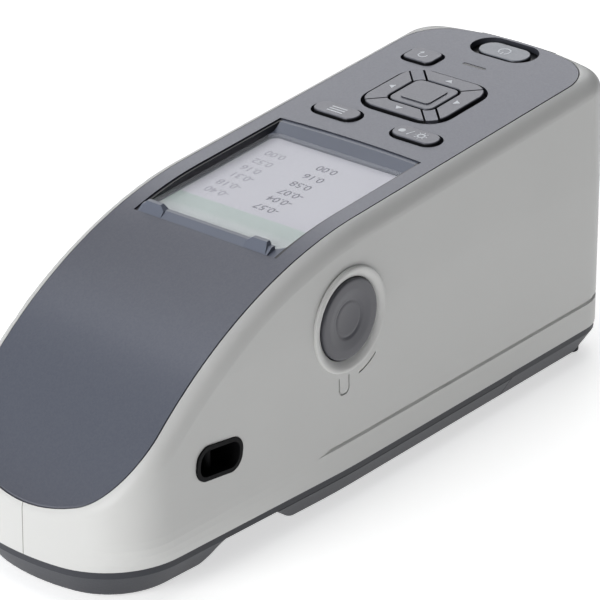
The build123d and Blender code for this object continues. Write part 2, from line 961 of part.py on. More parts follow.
def status_light():
    """The light pipe behind the slit."""
    length = light_length - 2 * light_gap
    return stadium(length, light_width - 2 * light_gap, light_x, light_y, key_board_top, -light_gap)


def key_mat():
    """The silicone mat under the keys."""
    start = key_board_start + 2 * key_board_margin
    half = board_width / 2 - key_board_margin
    mat = block(start, key_board_end, -half, half, key_board_top, key_board_top + membrane_thickness)
    around = 2 * moving_gap
    mat -= stadium(light_length + around, light_width + around, light_x, light_y, key_board_top - 1, 0)
    mat -= Pos(nav_x, 0, 0) * (nav_ring(key_board_top - 1, 0, moving_gap) & filler_bar(nav_filler + around))
    for x, y, seat in panel_posts():
        mat -= rod_z(x, y, seat, 0, post_radius + moving_gap)
    return mat


def key_board():
    """The board with the key contacts."""
    half = board_width / 2
    board = block(key_board_start, key_board_end, -half, half, key_board_top - board_thickness, key_board_top)
    for x, y, seat in panel_posts():
        board -= rod_z(x, y, seat - board_thickness, seat, screw_shank_radius + screw_hole_gap)
    return board


def panel_screw(x, y, seat):
    """A small screw from below into a post of the panel or the bezel."""
    under = seat - board_thickness
    head = rod_z(x, y, under - small_head_height, under, small_head_radius)
    return head + rod_z(x, y, under, seat + small_screw_bite, screw_shank_radius)


def panel_screws():
    """The screws of the key board and the display board."""
    places = panel_posts() + [(x, y, display_board_top) for x, y in display_posts()]
    return [panel_screw(x, y, seat) for x, y, seat in places]


# Measuring button

ring_face_y = -side_y(button_height) - ring_proud


def button_ring():
    """The raised white ring round the button; its back follows the case's leaning side."""
    flange = rod_y(button_x, ring_face_y, -side_y(button_height) + wall / 2, button_height, ring_radius)
    flange = fillet(flange.edges().group_by(Axis.Y)[0], ring_proud / 2)
    side = -side_y(button_height)
    neck = rod_y(button_x, side, side + wall, button_height, ring_neck_radius)
    ring = (flange - body_stack(0)) + neck
    return ring - rod_y(button_x, -body_width, 0, button_height, button_radius + moving_gap)


button_front_y = ring_face_y + button_sink
button_back_y = button_front_y + button_thickness


def measure_button():
    """The round button with a dished face, a dimple ring and a stem."""
    button = rod_y(button_x, button_front_y, button_back_y, button_height, button_radius)
    button = fillet(button.edges().group_by(Axis.Y)[0], key_edge_radius)
    dish_y = button_front_y + button_dish_depth - button_dish_radius
    button -= Pos(button_x, dish_y, button_height) * Sphere(button_dish_radius)
    dimple = Circle(button_dimple_radius) - Circle(button_dimple_radius - button_dimple_width)
    dimple = extrude(Rot(90, 0, 0) * dimple, amount=button_dish_depth + button_dimple_depth, both=True)
    button -= Pos(button_x, button_front_y, button_height) * dimple
    return button + rod_y(button_x, button_back_y, button_back_y + stem_length, button_height, stem_radius)


def button_spring():
    """The coil spring between the button and its switch board."""
    height = switch_board_y - board_thickness - button_back_y - 4 * spring_wire_radius
    coil = Helix(pitch=height / spring_turns, height=height, radius=spring_radius)
    section = Plane(origin=coil @ 0, z_dir=coil % 0) * Circle(spring_wire_radius)
    spring = sweep(section, path=coil)
    return Pos(button_x, button_back_y + 2 * spring_wire_radius, button_height) * Rot(-90, 0, 0) * spring


def switch_board():
    """The board behind the measuring button."""
    half = switch_board_size / 2
    board = block(button_x - half, button_x + half, switch_board_y - board_thickness, switch_board_y,
                  button_height - half, button_height + half)
    return board & under_top(panel_thickness + ledge_thickness + switch_board_drop)


def measure_switch():
    """The switch that the button's stem presses."""
    half = switch_size / 2
    back = switch_board_y - board_thickness
    front = button_back_y + stem_length + button_travel + switch_play
    return block(button_x - half, button_x + half, front, back, button_height - half, button_height + half)


# Strap slot

def strap_insert():
    """The black cup in the slot."""
    mouth = -side_y(slot_height) + slot_sink
    outer = slot_prism(mouth, mouth + slot_depth, 0)
    inner = slot_prism(mouth - 1, mouth + slot_depth - slot_wall, -slot_wall)
    bar_y = mouth + slot_depth / 2
    bar = rod_z(slot_x, bar_y, slot_height - slot_width, slot_height + slot_width, strap_bar_radius + bar_gap)
    return outer - inner - bar


def strap_bar():
    """The pin across the slot that the wrist strap goes round."""
    mouth = -side_y(slot_height) + slot_sink
    half = slot_width / 2
    return rod_z(slot_x, mouth + slot_depth / 2, slot_height - half, slot_height + half, strap_bar_radius)


# Dark base

def base_outline(z, inset):
    """The base's outline: the body's outline moved inwards."""
    return body_outline(z, inset, 0, tail_lean, 1)


def base_block(inset):
    """The tapered block from which the front foot, the door and the rear base are cut."""
    top = parting_height - strip_height
    high = base_outline(top, strip_inset + inset)
    low = base_outline(underside_height + inset, base_inset + inset)
    taper = one_solid(loft([low, high], ruled=True))
    if inset > 0:
        return taper
    bottom_edges = taper.edges().group_by(Axis.Z)[0]
    return taper.fillet(base_edge_radius, bottom_edges)


def swept_zone(flat_end, low_x, high_x):
    """Space from a flat end to an end that rises in a smooth S from the underside to the parting line."""
    low, high = underside_height - sweep_sink, parting_height
    middle = ((low_x + high_x) / 2, (low + high) / 2)
    lines = [
        Line((flat_end, high), (flat_end, low)),
        Line((flat_end, low), (low_x, low)),
        TangentArc((low_x, low), middle, tangent=(high_x - low_x, 0)),
        TangentArc((high_x, high), middle, tangent=(low_x - high_x, 0)),
        Line((high_x, high), (flat_end, high)),
    ]
    return extrude(Plane.XZ * make_face(Curve() + lines), amount=body_width, both=True)


def foot_zone():
    """Space of the front foot; its rear end sweeps up."""
    return swept_zone(-body_length, foot_end - foot_slant, foot_end)


def door_zone(start_inset, end_inset):
    """Space of the battery door; its front end sweeps up."""
    start = door_start + start_inset
    return swept_zone(door_end - end_inset, start, start - door_slant)


def rear_zone(inset):
    """Space of the fixed rear base."""
    return block(door_end + moving_gap + inset, body_length, -body_width, body_width, -1, parting_height)


def foot_pad_places():
    """Where the four rubber feet are."""
    pads = ((front_pad_x, front_pad_y), (rear_pad_x, rear_pad_y))
    return [(x, side * y) for x, y in pads for side in (-1, 1)]


def foot_pad(x, y, grow):
    """One rubber foot, or the recess it sits in."""
    return rod_z(x, y, 0, underside_height + foot_pad_sink, foot_pad_radius + grow)


def cells():
    """The battery cells' centres across the body."""
    return [(number - (cell_count - 1) / 2) * cell_pitch for number in range(cell_count)]


holder_start = cell_start - contact_room
holder_end = cell_start + cell_length + contact_room
holder_half = cell_pitch * cell_count / 2 + cell_room + holder_wall
holder_top = cell_height + cell_radius + cell_room + holder_wall


def bottom_cover():
    """The dark tray: a strip under the shells, the front foot and a rib inside the shells."""
    strip = extrude(base_outline(parting_height - strip_height, strip_inset), amount=strip_height)
    foot = base_block(0) & foot_zone()
    cover = strip + foot
    rib_inset = wall + seat_gap
    rib = extrude(base_outline(parting_height, rib_inset), amount=rib_height)
    rib -= extrude(base_outline(parting_height, rib_inset + rib_thickness), amount=rib_height)
    cover += rib
    cover -= base_block(base_wall) & (Pos(-base_wall, 0, 0) * foot_zone())
    opening_half = holder_half + seat_gap
    cover -= block(holder_start - seat_gap, holder_end + seat_gap, -opening_half, opening_half, 0, holder_top)
    boss_half = boss_width / 2 + moving_gap
    for x, y, seat in boss_places():
        y0, y1 = y - body_width / 8, y + body_width / 8
        cover -= block(x - boss_half, x + boss_half, y0, y1, parting_height, parting_height + 2 * rib_height)
        cover -= rod_z(x, y, 0, parting_height, screw_shank_radius + screw_hole_gap)
        if seat > underside_height + base_wall:
            cover -= rod_z(x, y, 0, seat + screw_head_height, screw_head_radius + screw_hole_gap)
    for x, y in foot_pad_places()[:2]:
        cover -= foot_pad(x, y, seat_gap)
    foot_of_post = parting_height - strip_height / 2
    for x, y, z in cover_posts():
        cover += rod_z(x, y, foot_of_post, z, post_radius)
        cover -= rod_z(x, y, parting_height, z, screw_shank_radius + screw_thread_gap)
    return cover


def cover_posts():
    """Posts on the bottom cover: x, y and height of the board or chassis they hold."""
    edge = board_width / 2 - post_inset
    beside_holder = holder_flange + post_radius + moving_gap
    board_x = (main_board_start + post_inset, holder_start - beside_holder - post_radius)
    chassis_x = (holder_end + beside_holder, chassis_end - chassis_width / 4)
    posts = [(x, y, main_board_height) for x in board_x for y in (-edge, edge)]
    return posts + [(x, y, chassis_height) for x in chassis_x for y in (-edge, edge)]


def battery_door():
    """The part of the base under the batteries; it slides towards the nose."""
    high = parting_height - strip_height - moving_gap
    lift = block(-body_length, body_length, -body_width, body_width, 0, high)
    door = base_block(0) & door_zone(0, 0) & lift
    door -= base_block(base_wall) & door_zone(base_wall, base_wall)
    for number in range(door_grip_count):
        x = door_end - door_grip_setback - door_grip_pitch * number
        door -= rod_y(x, -door_grip_width / 2, door_grip_width / 2, underside_height - 0.3, door_grip_radius)
    return door


def rear_base():
    """The fixed rear piece of the base."""
    base = base_block(0) & rear_zone(0)
    base -= base_block(base_wall) & rear_zone(base_wall)
    for x, y, seat in boss_places():
        if seat < underside_height + base_wall:
            boss = rod_z(x, y, seat, parting_height - strip_height, screw_head_radius + base_wall)
            base += boss & base_block(0)
            base -= rod_z(x, y, 0, parting_height, screw_shank_radius + screw_hole_gap)
            base -= rod_z(x, y, 0, seat + screw_head_height, screw_head_radius + screw_hole_gap)
    for x, y in foot_pad_places()[2:]:
        base -= foot_pad(x, y, seat_gap)
    return base


def case_screw(x, y, seat):
    """One screw of the case, head down."""
    head = rod_z(x, y, seat, seat + screw_head_height, screw_head_radius)
    reach, half = screw_cross_length / 2, screw_cross_width / 2
    cross = block(x - reach, x + reach, y - half, y + half, seat, seat + screw_cross_depth)
    cross += block(x - half, x + half, y - reach, y + reach, seat, seat + screw_cross_depth)
    shank = rod_z(x, y, seat + screw_head_height, parting_height + screw_length, screw_shank_radius)
    return head - cross + shank


def case_screws():
    """The six screws of the case; the heads stand in their counterbores."""
    return [case_screw(x, y, seat) for x, y, seat in boss_places()]


# Batteries

def cell(y):
    """One battery cell with its raised end."""
    end = cell_start + cell_length
    body = rod_x(cell_start, end - cell_nub_height, y, cell_height, cell_radius)
    return body + rod_x(end - cell_nub_height, end, y, cell_height, cell_nub_radius)


def battery_holder():
    """The upside-down tray that holds the cells."""
    low = parting_height - strip_height
    inside = holder_half - holder_wall
    start, end = holder_start - holder_flange, holder_end + holder_flange
    tray = block(holder_start, holder_end, -holder_half, holder_half, low, holder_top)
    tray += block(start, end, -inside, inside, parting_height, parting_height + holder_wall)
    room_start, room_end = holder_start + holder_wall, holder_end - holder_wall
    return tray - block(room_start, room_end, -inside, inside, 0, holder_top - holder_wall)


def battery_contacts():
    """A plate at each cell's raised end and a cup at its flat end."""
    pieces = []
    low, high = cell_height - contact_radius, cell_height + contact_radius
    cup_start, cup_end = holder_start + holder_wall, cell_start - seat_gap
    inner = contact_radius - contact_thickness
    for y in cells():
        plate_start = cell_start + cell_length + seat_gap
        plate_end = holder_end - holder_wall
        pieces.append(block(plate_start, plate_end, y - contact_radius, y + contact_radius, low, high))
        cup = rod_x(cup_start, cup_end, y, cell_height, contact_radius)
        pieces.append(cup - rod_x(cup_start + contact_thickness, cell_start, y, cell_height, inner))
    return pieces


# Optics

sphere_x = half_length - port_proud - port_ring_depth - sphere_radius - sphere_wall + sphere_neck


def turned_x(lines):
    """A solid of revolution about the sphere's axis, from lines in the XZ plane."""
    profile = make_face(Curve() + lines)
    solid = revolve(Plane.XZ * profile, axis=Axis.X)
    return Pos(sphere_x, 0, port_height) * solid


def on_circle(radius, across):
    """How far along the axis a circle is at a distance across it."""
    return sqrt(radius**2 - across**2)


def arc_between(radius, start, end):
    """An arc about the sphere's centre between two points of that radius."""
    middle = ((start[0] + end[0]) / 2, (start[1] + end[1]) / 2)
    scale = radius / sqrt(middle[0] ** 2 + middle[1] ** 2)
    return ThreePointArc(start, (middle[0] * scale, middle[1] * scale), end)


def front_sphere():
    """The half of the integrating sphere with the opening towards the port."""
    outer = sphere_radius + sphere_wall
    rim = outer + sphere_flange
    hole = aperture_radius * 2
    neck = hole + sphere_wall
    front = mask_back_x - moving_gap - sphere_x
    flange = sphere_flange_thickness
    inner_start = (0, sphere_radius)
    inner_end = (on_circle(sphere_radius, hole), hole)
    outer_start = (on_circle(outer, neck), neck)
    outer_end = (flange, on_circle(outer, flange))
    return turned_x([
        arc_between(sphere_radius, inner_start, inner_end),
        Polyline(inner_end, (front, hole), (front, neck), outer_start),
        arc_between(outer, outer_start, outer_end),
        Polyline(outer_end, (flange, rim), (0, rim), inner_start),
    ])


def rear_sphere():
    """The half with the lamp's and the receiver's openings."""
    outer = sphere_radius + sphere_wall
    rim = outer + sphere_flange
    flange = sphere_flange_thickness
    inner_start = (0, sphere_radius)
    inner_end = (-sphere_radius, 0)
    outer_start = (-outer, 0)
    outer_end = (-flange, on_circle(outer, flange))
    half = turned_x([
        arc_between(sphere_radius, inner_start, inner_end),
        Line(inner_end, outer_start),
        arc_between(outer, outer_start, outer_end),
        Polyline(outer_end, (-flange, rim), (0, rim), inner_start),
    ])
    lamp_x = sphere_x + lamp_x_offset
    half -= rod_z(lamp_x, 0, port_height + sphere_radius / 2, body_length, lamp_housing_radius + fit_gap)
    half -= receiver_rod(receiver_radius + fit_gap, sphere_radius - 2 * sphere_wall, outer + 2 * sphere_wall)
    return half


def receiver_rod(radius, start, end):
    """A bar along the receiving axis, which rises from the sphere's centre towards the nose."""
    bar = rod_x(-end, -start, 0, 0, radius)
    return Pos(sphere_x, 0, port_height) * Rot(0, receiver_angle, 0) * bar


receiver_start = sphere_radius - 0.5
receiver_end = receiver_start + receiver_length


def receiver_tube():
    """The tube that leads the light from the sphere to the spectrometer."""
    tube = receiver_rod(receiver_radius, receiver_start, receiver_end)
    tube -= receiver_rod(receiver_radius - receiver_wall, receiver_start - 1, receiver_end + 1)
    return tube & block(spectrometer_end + seat_gap, body_length, -body_width, body_width, 0, body_length)


def receiver_lens():
    """The lens inside the receiving tube."""
    start = receiver_start + 2 * lens_thickness
    return receiver_rod(receiver_radius - receiver_wall - fit_gap, start, start + lens_thickness)


lamp_top = port_height + sphere_radius + sphere_wall + lamp_housing_rise


def lamp_housing():
    """The reflector that holds the flash lamp on the sphere."""
    x = sphere_x + lamp_x_offset
    low = port_height + sphere_radius * 0.84
    tube = rod_z(x, 0, low, lamp_top, lamp_housing_radius)
    return tube - rod_z(x, 0, low - 1, lamp_top - lamp_housing_wall, lamp_housing_radius - lamp_housing_wall)


def flash_lamp():
    """The xenon flash tube."""
    x = sphere_x + lamp_x_offset
    high = lamp_top - lamp_housing_wall
    return rod_z(x, 0, high - lamp_length, high, lamp_radius)


def lamp_board():
    """The board on top of the lamp."""
    x = sphere_x + lamp_x_offset
    half = lamp_board_width / 2
    return block(x - half, x + half, -half, half, lamp_top, lamp_top + board_thickness)


spectrometer_start = chassis_start + spectrometer_lead
spectrometer_end = spectrometer_start + spectrometer_length
spectrometer_low = chassis_height + chassis_thickness + spectrometer_rise
spectrometer_high = spectrometer_low + spectrometer_height


def spectrometer_block():
    """The housing of the spectrometer, open on top."""
    half = spectrometer_width / 2
    body = block(spectrometer_start, spectrometer_end, -half, half, spectrometer_low, spectrometer_high)
    inside = half - spectrometer_wall
    start, end = spectrometer_start + spectrometer_wall, spectrometer_end - spectrometer_wall
    body -= block(start, end, -inside, inside, spectrometer_low + spectrometer_wall, spectrometer_high + 1)
    body -= receiver_rod(receiver_radius - receiver_wall, receiver_start, sphere_radius + spectrometer_length)
    for x in (start, end - spectrometer_foot_length):
        far = x + spectrometer_foot_length
        body += block(x, far, -inside, inside, chassis_height + chassis_thickness, spectrometer_low)
    return body


def spectrometer_cover():
    """The lid of the spectrometer."""
    half = spectrometer_width / 2
    high = spectrometer_high + spectrometer_cover_thickness
    return block(spectrometer_start, spectrometer_end, -half, half, spectrometer_high, high)


def grating():
    """The concave grating at the end of the spectrometer."""
    x = spectrometer_start + spectrometer_wall
    half = grating_width / 2
    low, high = spectrometer_low + spectrometer_wall, spectrometer_high - spectrometer_wall
    plate = block(x, x + grating_thickness, -half, half, low, high)
    centre = (x + grating_thickness / 2 + grating_curve, 0, (low + high) / 2)
    return plate - Pos(*centre) * Rot(90, 0, 0) * Cylinder(grating_curve, 2 * grating_width)


def sensor_board():
    """The board with the line sensor, on the spectrometer's side."""
    y = -spectrometer_width / 2
    start, end = spectrometer_start + 2 * spectrometer_wall, spectrometer_end - 2 * spectrometer_wall
    low, high = spectrometer_low + spectrometer_wall, spectrometer_high - spectrometer_wall
    return block(start, end, y - board_thickness, y, low, high)


def line_sensor():
    """The line sensor on its board."""
    y = -spectrometer_width / 2 - board_thickness
    low = (spectrometer_low + spectrometer_high - sensor_height) / 2
    start = (spectrometer_start + spectrometer_end - sensor_length) / 2
    return block(start, start + sensor_length, y - sensor_thickness, y, low, low + sensor_height)


def optics_chassis():
    """The metal plate that carries the optics, with a saddle for the sphere's flange."""
    top = chassis_height + chassis_thickness
    half = chassis_width / 2
    plate = block(chassis_start, chassis_end, -half, half, chassis_height, top)
    start, finish = sphere_x - saddle_length / 2, sphere_x + saddle_length / 2
    saddle_top = port_height - sphere_radius / 2
    saddle = block(start, finish, -saddle_width / 2, saddle_width / 2, top, saddle_top)
    outer = sphere_radius + sphere_wall
    saddle -= Pos(sphere_x, 0, port_height) * Sphere(outer + fit_gap)
    reach = sphere_flange_thickness + fit_gap
    groove = rod_x(sphere_x - reach, sphere_x + reach, 0, port_height, outer + sphere_flange + fit_gap)
    chassis = plate + saddle - groove
    for x, y, z in cover_posts()[4:]:
        chassis -= rod_z(x, y, 0, top, screw_shank_radius + screw_hole_gap)
    return chassis


def board_screws():
    """Screws of the main board and the chassis."""
    screws = []
    for x, y, z in cover_posts():
        top = z + (board_thickness if z == main_board_height else chassis_thickness)
        head = rod_z(x, y, top, top + small_head_height, small_head_radius)
        screws.append(head + rod_z(x, y, z - board_screw_bite, top, screw_shank_radius))
    return screws


# Measuring port

mask_back_x = half_length - mask_depth


def port_ring():
    """The dark ring round the measuring port."""
    back = half_length - port_proud - port_ring_depth
    front = half_length - port_proud - port_ring_sink
    ring = rod_x(back, front, 0, port_height, port_ring_radius)
    ring = fillet(ring.edges().group_by(Axis.X)[-1], port_edge_radius)
    bore = port_ring_radius - port_ring_wall
    ring -= rod_x(mask_back_x - moving_gap, half_length + 1, 0, port_height, bore)
    neck = aperture_radius * 2 + sphere_wall + seat_gap
    return ring - rod_x(back - 1, half_length + 1, 0, port_height, neck)


def target_mask():
    """The round mask that touches the specimen; it turns to come off."""
    radius = port_ring_radius - port_ring_wall - moving_gap
    disc = rod_x(mask_back_x, half_length, 0, port_height, radius)
    disc = fillet(disc.edges().group_by(Axis.X)[-1], port_edge_radius)
    cone = Cone(aperture_radius * 2, aperture_radius, mask_depth + 0.02)
    disc -= Pos((mask_back_x + half_length) / 2, 0, port_height) * Rot(0, 90, 0) * cone
    for side in (-1, 1):
        start = half_length - mask_notch_depth
        disc -= rod_x(start, half_length + 1, side * (radius + 1.0), port_height, mask_notch_radius)
    return disc


# Boards and connectors

def main_board():
    """The main board over the bottom cover."""
    board = block(main_board_start, main_board_end, -board_width / 2, board_width / 2,
                  main_board_height, main_board_height + board_thickness)
    for x, y, z in cover_posts()[:4]:
        board -= rod_z(x, y, z, z + board_thickness, screw_shank_radius + screw_hole_gap)
    return board


def board_chips():
    """The larger chips on the main board."""
    top = main_board_height + board_thickness
    chips = []
    for lead, y, size, height in ((16.0, -7.0, 14.0, 1.4), (38.0, -12.0, 10.0, 1.2), (38.0, 4.0, 8.0, 1.8)):
        start = main_board_start + lead
        chips.append(block(start, start + size, y, y + size, top, top + height))
    return chips


def power_board():
    """The small board that charges the flash capacitor, on the chassis."""
    low = chassis_height + chassis_thickness
    start = spectrometer_end + 2 * moving_gap
    end = start + board_thickness
    edge = -chassis_width / 2 + seat_gap
    return block(start, end, edge, edge + power_board_width, low, low + power_board_height)


def flash_capacitor():
    """The capacitor beside the spectrometer, lying on the chassis."""
    y = spectrometer_width / 2 + capacitor_radius + capacitor_gap
    z = chassis_height + chassis_thickness + capacitor_radius
    start = spectrometer_start - spectrometer_wall
    return rod_x(start, start + capacitor_length, y, z, capacitor_radius)


def usb_socket():
    """The data socket on the main board's edge."""
    top = main_board_height + board_thickness
    back = flap_face_y - usb_depth
    start = flap_x + usb_offset - usb_width / 2
    end = start + usb_width
    low, high = top + usb_wall, top + usb_height - usb_wall
    middle = (low + high) / 2
    shell = block(start, end, back, flap_face_y, top, top + usb_height)
    shell -= block(start + usb_wall, end - usb_wall, back + 3 * socket_sink, flap_face_y + 1, low, high)
    tongue_y = flap_face_y - socket_sink
    side = 3 * usb_wall
    return shell + block(start + side, end - side, back, tongue_y, middle - usb_wall, middle + usb_wall)


def power_socket():
    """The supply socket on the main board's edge."""
    top = main_board_height + board_thickness
    back = flap_face_y - power_socket_depth
    x = flap_x + power_socket_offset
    z = top + power_socket_height / 2
    half = power_socket_width / 2
    body = block(x - half, x + half, back, flap_face_y, top, top + power_socket_height)
    body -= rod_y(x, back + 3 * socket_sink, flap_face_y + 1, z, power_socket_hole)
    return body + rod_y(x, back, flap_face_y - socket_sink, z, power_socket_pin)


flap_face_y = flap_pin_y - flap_thickness / 2 - socket_sink


def connector_flap():
    """The flap over the sockets; it turns down on two pins."""
    half = flap_length / 2
    low = flap_axis_height
    start, end = flap_x - half, flap_x + half
    y0, y1 = flap_pin_y - flap_thickness / 2, flap_pin_y + flap_thickness / 2
    plate = block(start, end, y0, y1, low, low + flap_height - flap_pin_radius)
    plate += rod_x(start, end, flap_pin_y, low, flap_thickness / 2)
    reach = half + moving_gap + flap_pin_length
    plate += rod_x(flap_x - reach, flap_x + reach, flap_pin_y, low, flap_pin_radius)
    tab_low = low + flap_height - 2 * flap_tab_height
    tab_high = tab_low + flap_tab_height
    tab_start, tab_end = flap_x - flap_tab_width / 2, flap_x + flap_tab_width / 2
    return plate + block(tab_start, tab_end, flap_pin_y, y1 + flap_sink, tab_low, tab_high)


def build_parts():
    """Every sub-part by node name."""
    shell = case_shell()
    parts = {
        "right_shell": right_shell(shell),
        "left_shell": left_shell(shell),
        "top_panel": top_panel(),
        "display_bezel": display_bezel(),
        "display_window": on_panel(display_window()),
        "lcd_panel": on_panel(lcd_panel()),
        "backlight": on_panel(backlight()),
        "display_board": on_panel(display_board()),
        "corner_key": on_panel(corner_key()),
        "power_key": on_panel(power_key()),
        "select_key": on_panel(select_key()),
        "nav_corner_fillers": on_panel(nav_fillers()),
        "status_light": on_panel(status_light()),
        "key_mat": on_panel(key_mat()),
        "key_board": on_panel(key_board()),
        "panel_screws": [on_panel(screw) for screw in panel_screws()],
        "button_ring": button_ring(),
        "measure_button": measure_button(),
        "button_spring": button_spring(),
        "switch_board": switch_board(),
        "measure_switch": measure_switch(),
        "strap_insert": strap_insert(),
        "strap_bar": strap_bar(),
        "bottom_cover": bottom_cover(),
        "battery_door": battery_door(),
        "rear_base": rear_base(),
        "rubber_feet": [foot_pad(x, y, 0) for x, y in foot_pad_places()],
        "case_screws": case_screws(),
        "battery_holder": battery_holder(),
        "battery_contacts": battery_contacts(),
        "front_sphere": front_sphere(),
        "rear_sphere": rear_sphere(),
        "lamp_housing": lamp_housing(),
        "flash_lamp": flash_lamp(),
        "lamp_board": lamp_board(),
        "receiver_tube": receiver_tube(),
        "receiver_lens": receiver_lens(),
        "spectrometer_block": spectrometer_block(),
        "spectrometer_cover": spectrometer_cover(),
        "grating": grating(),
        "sensor_board": sensor_board(),
        "line_sensor": line_sensor(),
        "optics_chassis": optics_chassis(),
        "board_screws": board_screws(),
        "port_ring": port_ring(),
        "target_mask": target_mask(),
        "main_board": main_board(),
        "board_chips": board_chips(),
        "power_board": power_board(),
        "flash_capacitor": flash_capacitor(),
        "usb_socket": usb_socket(),
        "power_socket": power_socket(),
        "connector_flap": connector_flap(),
    }
    for name, y in menu_keys():
        parts[name] = on_panel(menu_key(y))
    for name, turn in (("up_key", 0), ("left_key", 90), ("down_key", 180), ("right_key", 270)):
        parts[name] = on_panel(nav_key(turn))
    parts["battery_cells"] = [cell(y) for y in cells()]
    return parts


def write_parts():
    """Write one STEP file per node."""
    os.makedirs("parts", exist_ok=True)
    for name, shape in build_parts().items():
        if isinstance(shape, list):
            solids = [solid for piece in shape for solid in piece.solids()]
        else:
            solids = list(shape.solids())
        body = solids[0] if len(solids) == 1 else Compound(children=solids)
        export_step(body, f"parts/{name}.step")


write_parts()
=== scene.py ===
import math

import bmesh
import bpy
from mathutils import Matrix, Vector


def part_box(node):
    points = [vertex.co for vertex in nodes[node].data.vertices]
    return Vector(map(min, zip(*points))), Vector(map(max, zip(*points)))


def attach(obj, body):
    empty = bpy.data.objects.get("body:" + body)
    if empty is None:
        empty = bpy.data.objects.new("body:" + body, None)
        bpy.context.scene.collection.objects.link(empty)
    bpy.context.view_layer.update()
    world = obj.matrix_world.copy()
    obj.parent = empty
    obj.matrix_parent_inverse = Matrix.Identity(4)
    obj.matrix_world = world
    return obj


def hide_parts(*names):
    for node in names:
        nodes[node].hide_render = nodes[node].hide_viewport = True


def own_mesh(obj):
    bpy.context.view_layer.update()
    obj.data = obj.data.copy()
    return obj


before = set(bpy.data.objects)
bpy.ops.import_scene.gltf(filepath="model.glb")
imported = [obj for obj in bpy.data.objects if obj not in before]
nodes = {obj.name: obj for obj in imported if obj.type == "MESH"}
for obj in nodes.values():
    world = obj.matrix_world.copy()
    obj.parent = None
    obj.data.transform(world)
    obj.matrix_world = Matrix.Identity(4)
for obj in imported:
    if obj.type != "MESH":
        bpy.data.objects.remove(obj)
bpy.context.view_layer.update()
mm = 0.001
print("frame loaded with", len(nodes), "nodes")


def toLinear(hexText):
    parts = [int(hexText[i:i + 2], 16) / 255 for i in (1, 3, 5)]
    return tuple(c / 12.92 if c <= 0.04045 else ((c + 0.055) / 1.055) ** 2.4 for c in parts) + (1.0,)


def addNode(tree, kind, settings={}, links={}):
    node = tree.nodes.new(kind)
    for key, value in settings.items():
        if isinstance(key, int) or key in node.inputs:
            node.inputs[key].default_value = value
        else:
            setattr(node, key, value)
    for key, source in links.items():
        tree.links.new(source, node.inputs[key])
    return node


def startMaterial(name, shaderSettings):
    material = bpy.data.materials.new(name)
    material.use_nodes = True
    tree = material.node_tree
    tree.nodes.clear()
    shader = addNode(tree, "ShaderNodeBsdfPrincipled", shaderSettings)
    addNode(tree, "ShaderNodeOutputMaterial", {}, {"Surface": shader.outputs["BSDF"]})
    place = addNode(tree, "ShaderNodeTexCoord").outputs["Object"]
    return material, tree, shader, place


# The base colour wanders between a look's tint and its shade
def colourFrom(tree, shader, source, look):
    colours = {"data_type": "RGBA", 6: toLinear(look["tint"]), 7: toLinear(look["shade"])}
    blend = addNode(tree, "ShaderNodeMix", colours, {0: source})
    tree.links.new(blend.outputs[2], shader.inputs["Base Color"])


# Another colour on top of what the base colour already shows
def paintOver(tree, shader, cover, colour):
    under = shader.inputs["Base Color"].links[0].from_socket
    paint = addNode(tree, "ShaderNodeMix", {"data_type": "RGBA", 7: toLinear(colour)}, {0: cover, 6: under})
    tree.links.new(paint.outputs[2], shader.inputs["Base Color"])


def roughnessFrom(tree, shader, source, middle, spread):
    limits = {"To Min": middle - spread, "To Max": middle + spread}
    rough = addNode(tree, "ShaderNodeMapRange", limits, {"Value": source})
    tree.links.new(rough.outputs["Result"], shader.inputs["Roughness"])


def reliefFrom(tree, shader, source, depth, strength):
    raised = {"Strength": strength, "Distance": depth * mm}
    relief = addNode(tree, "ShaderNodeBump", raised, {"Height": source})
    tree.links.new(relief.outputs["Normal"], shader.inputs["Normal"])


def mouldedGrain(tree, shader, place, look):
    fine = {"Scale": 1 / (look["grain"] * mm), "Detail": 2.0, "Roughness": 0.6}
    grain = addNode(tree, "ShaderNodeTexNoise", fine, {"Vector": place})
    reliefFrom(tree, shader, grain.outputs["Fac"], look["depth"], 1.0)
    return grain.outputs["Fac"]


# Moulded plastics: one recipe, because they leave the same kind of spark-eroded tool
def mouldedPlastic(name, look):
    gloss = {"IOR": 1.5, "Specular IOR Level": look.get("specular", 0.5)}
    material, tree, shader, place = startMaterial(name, gloss)
    cloudy = {"Scale": 1 / (look["cloud"] * mm), "Detail": 3.0}
    cloud = addNode(tree, "ShaderNodeTexNoise", cloudy, {"Vector": place})
    colourFrom(tree, shader, cloud.outputs["Fac"], look)
    grain = mouldedGrain(tree, shader, place, look)
    roughnessFrom(tree, shader, grain, look["roughness"], 0.05)
    return material


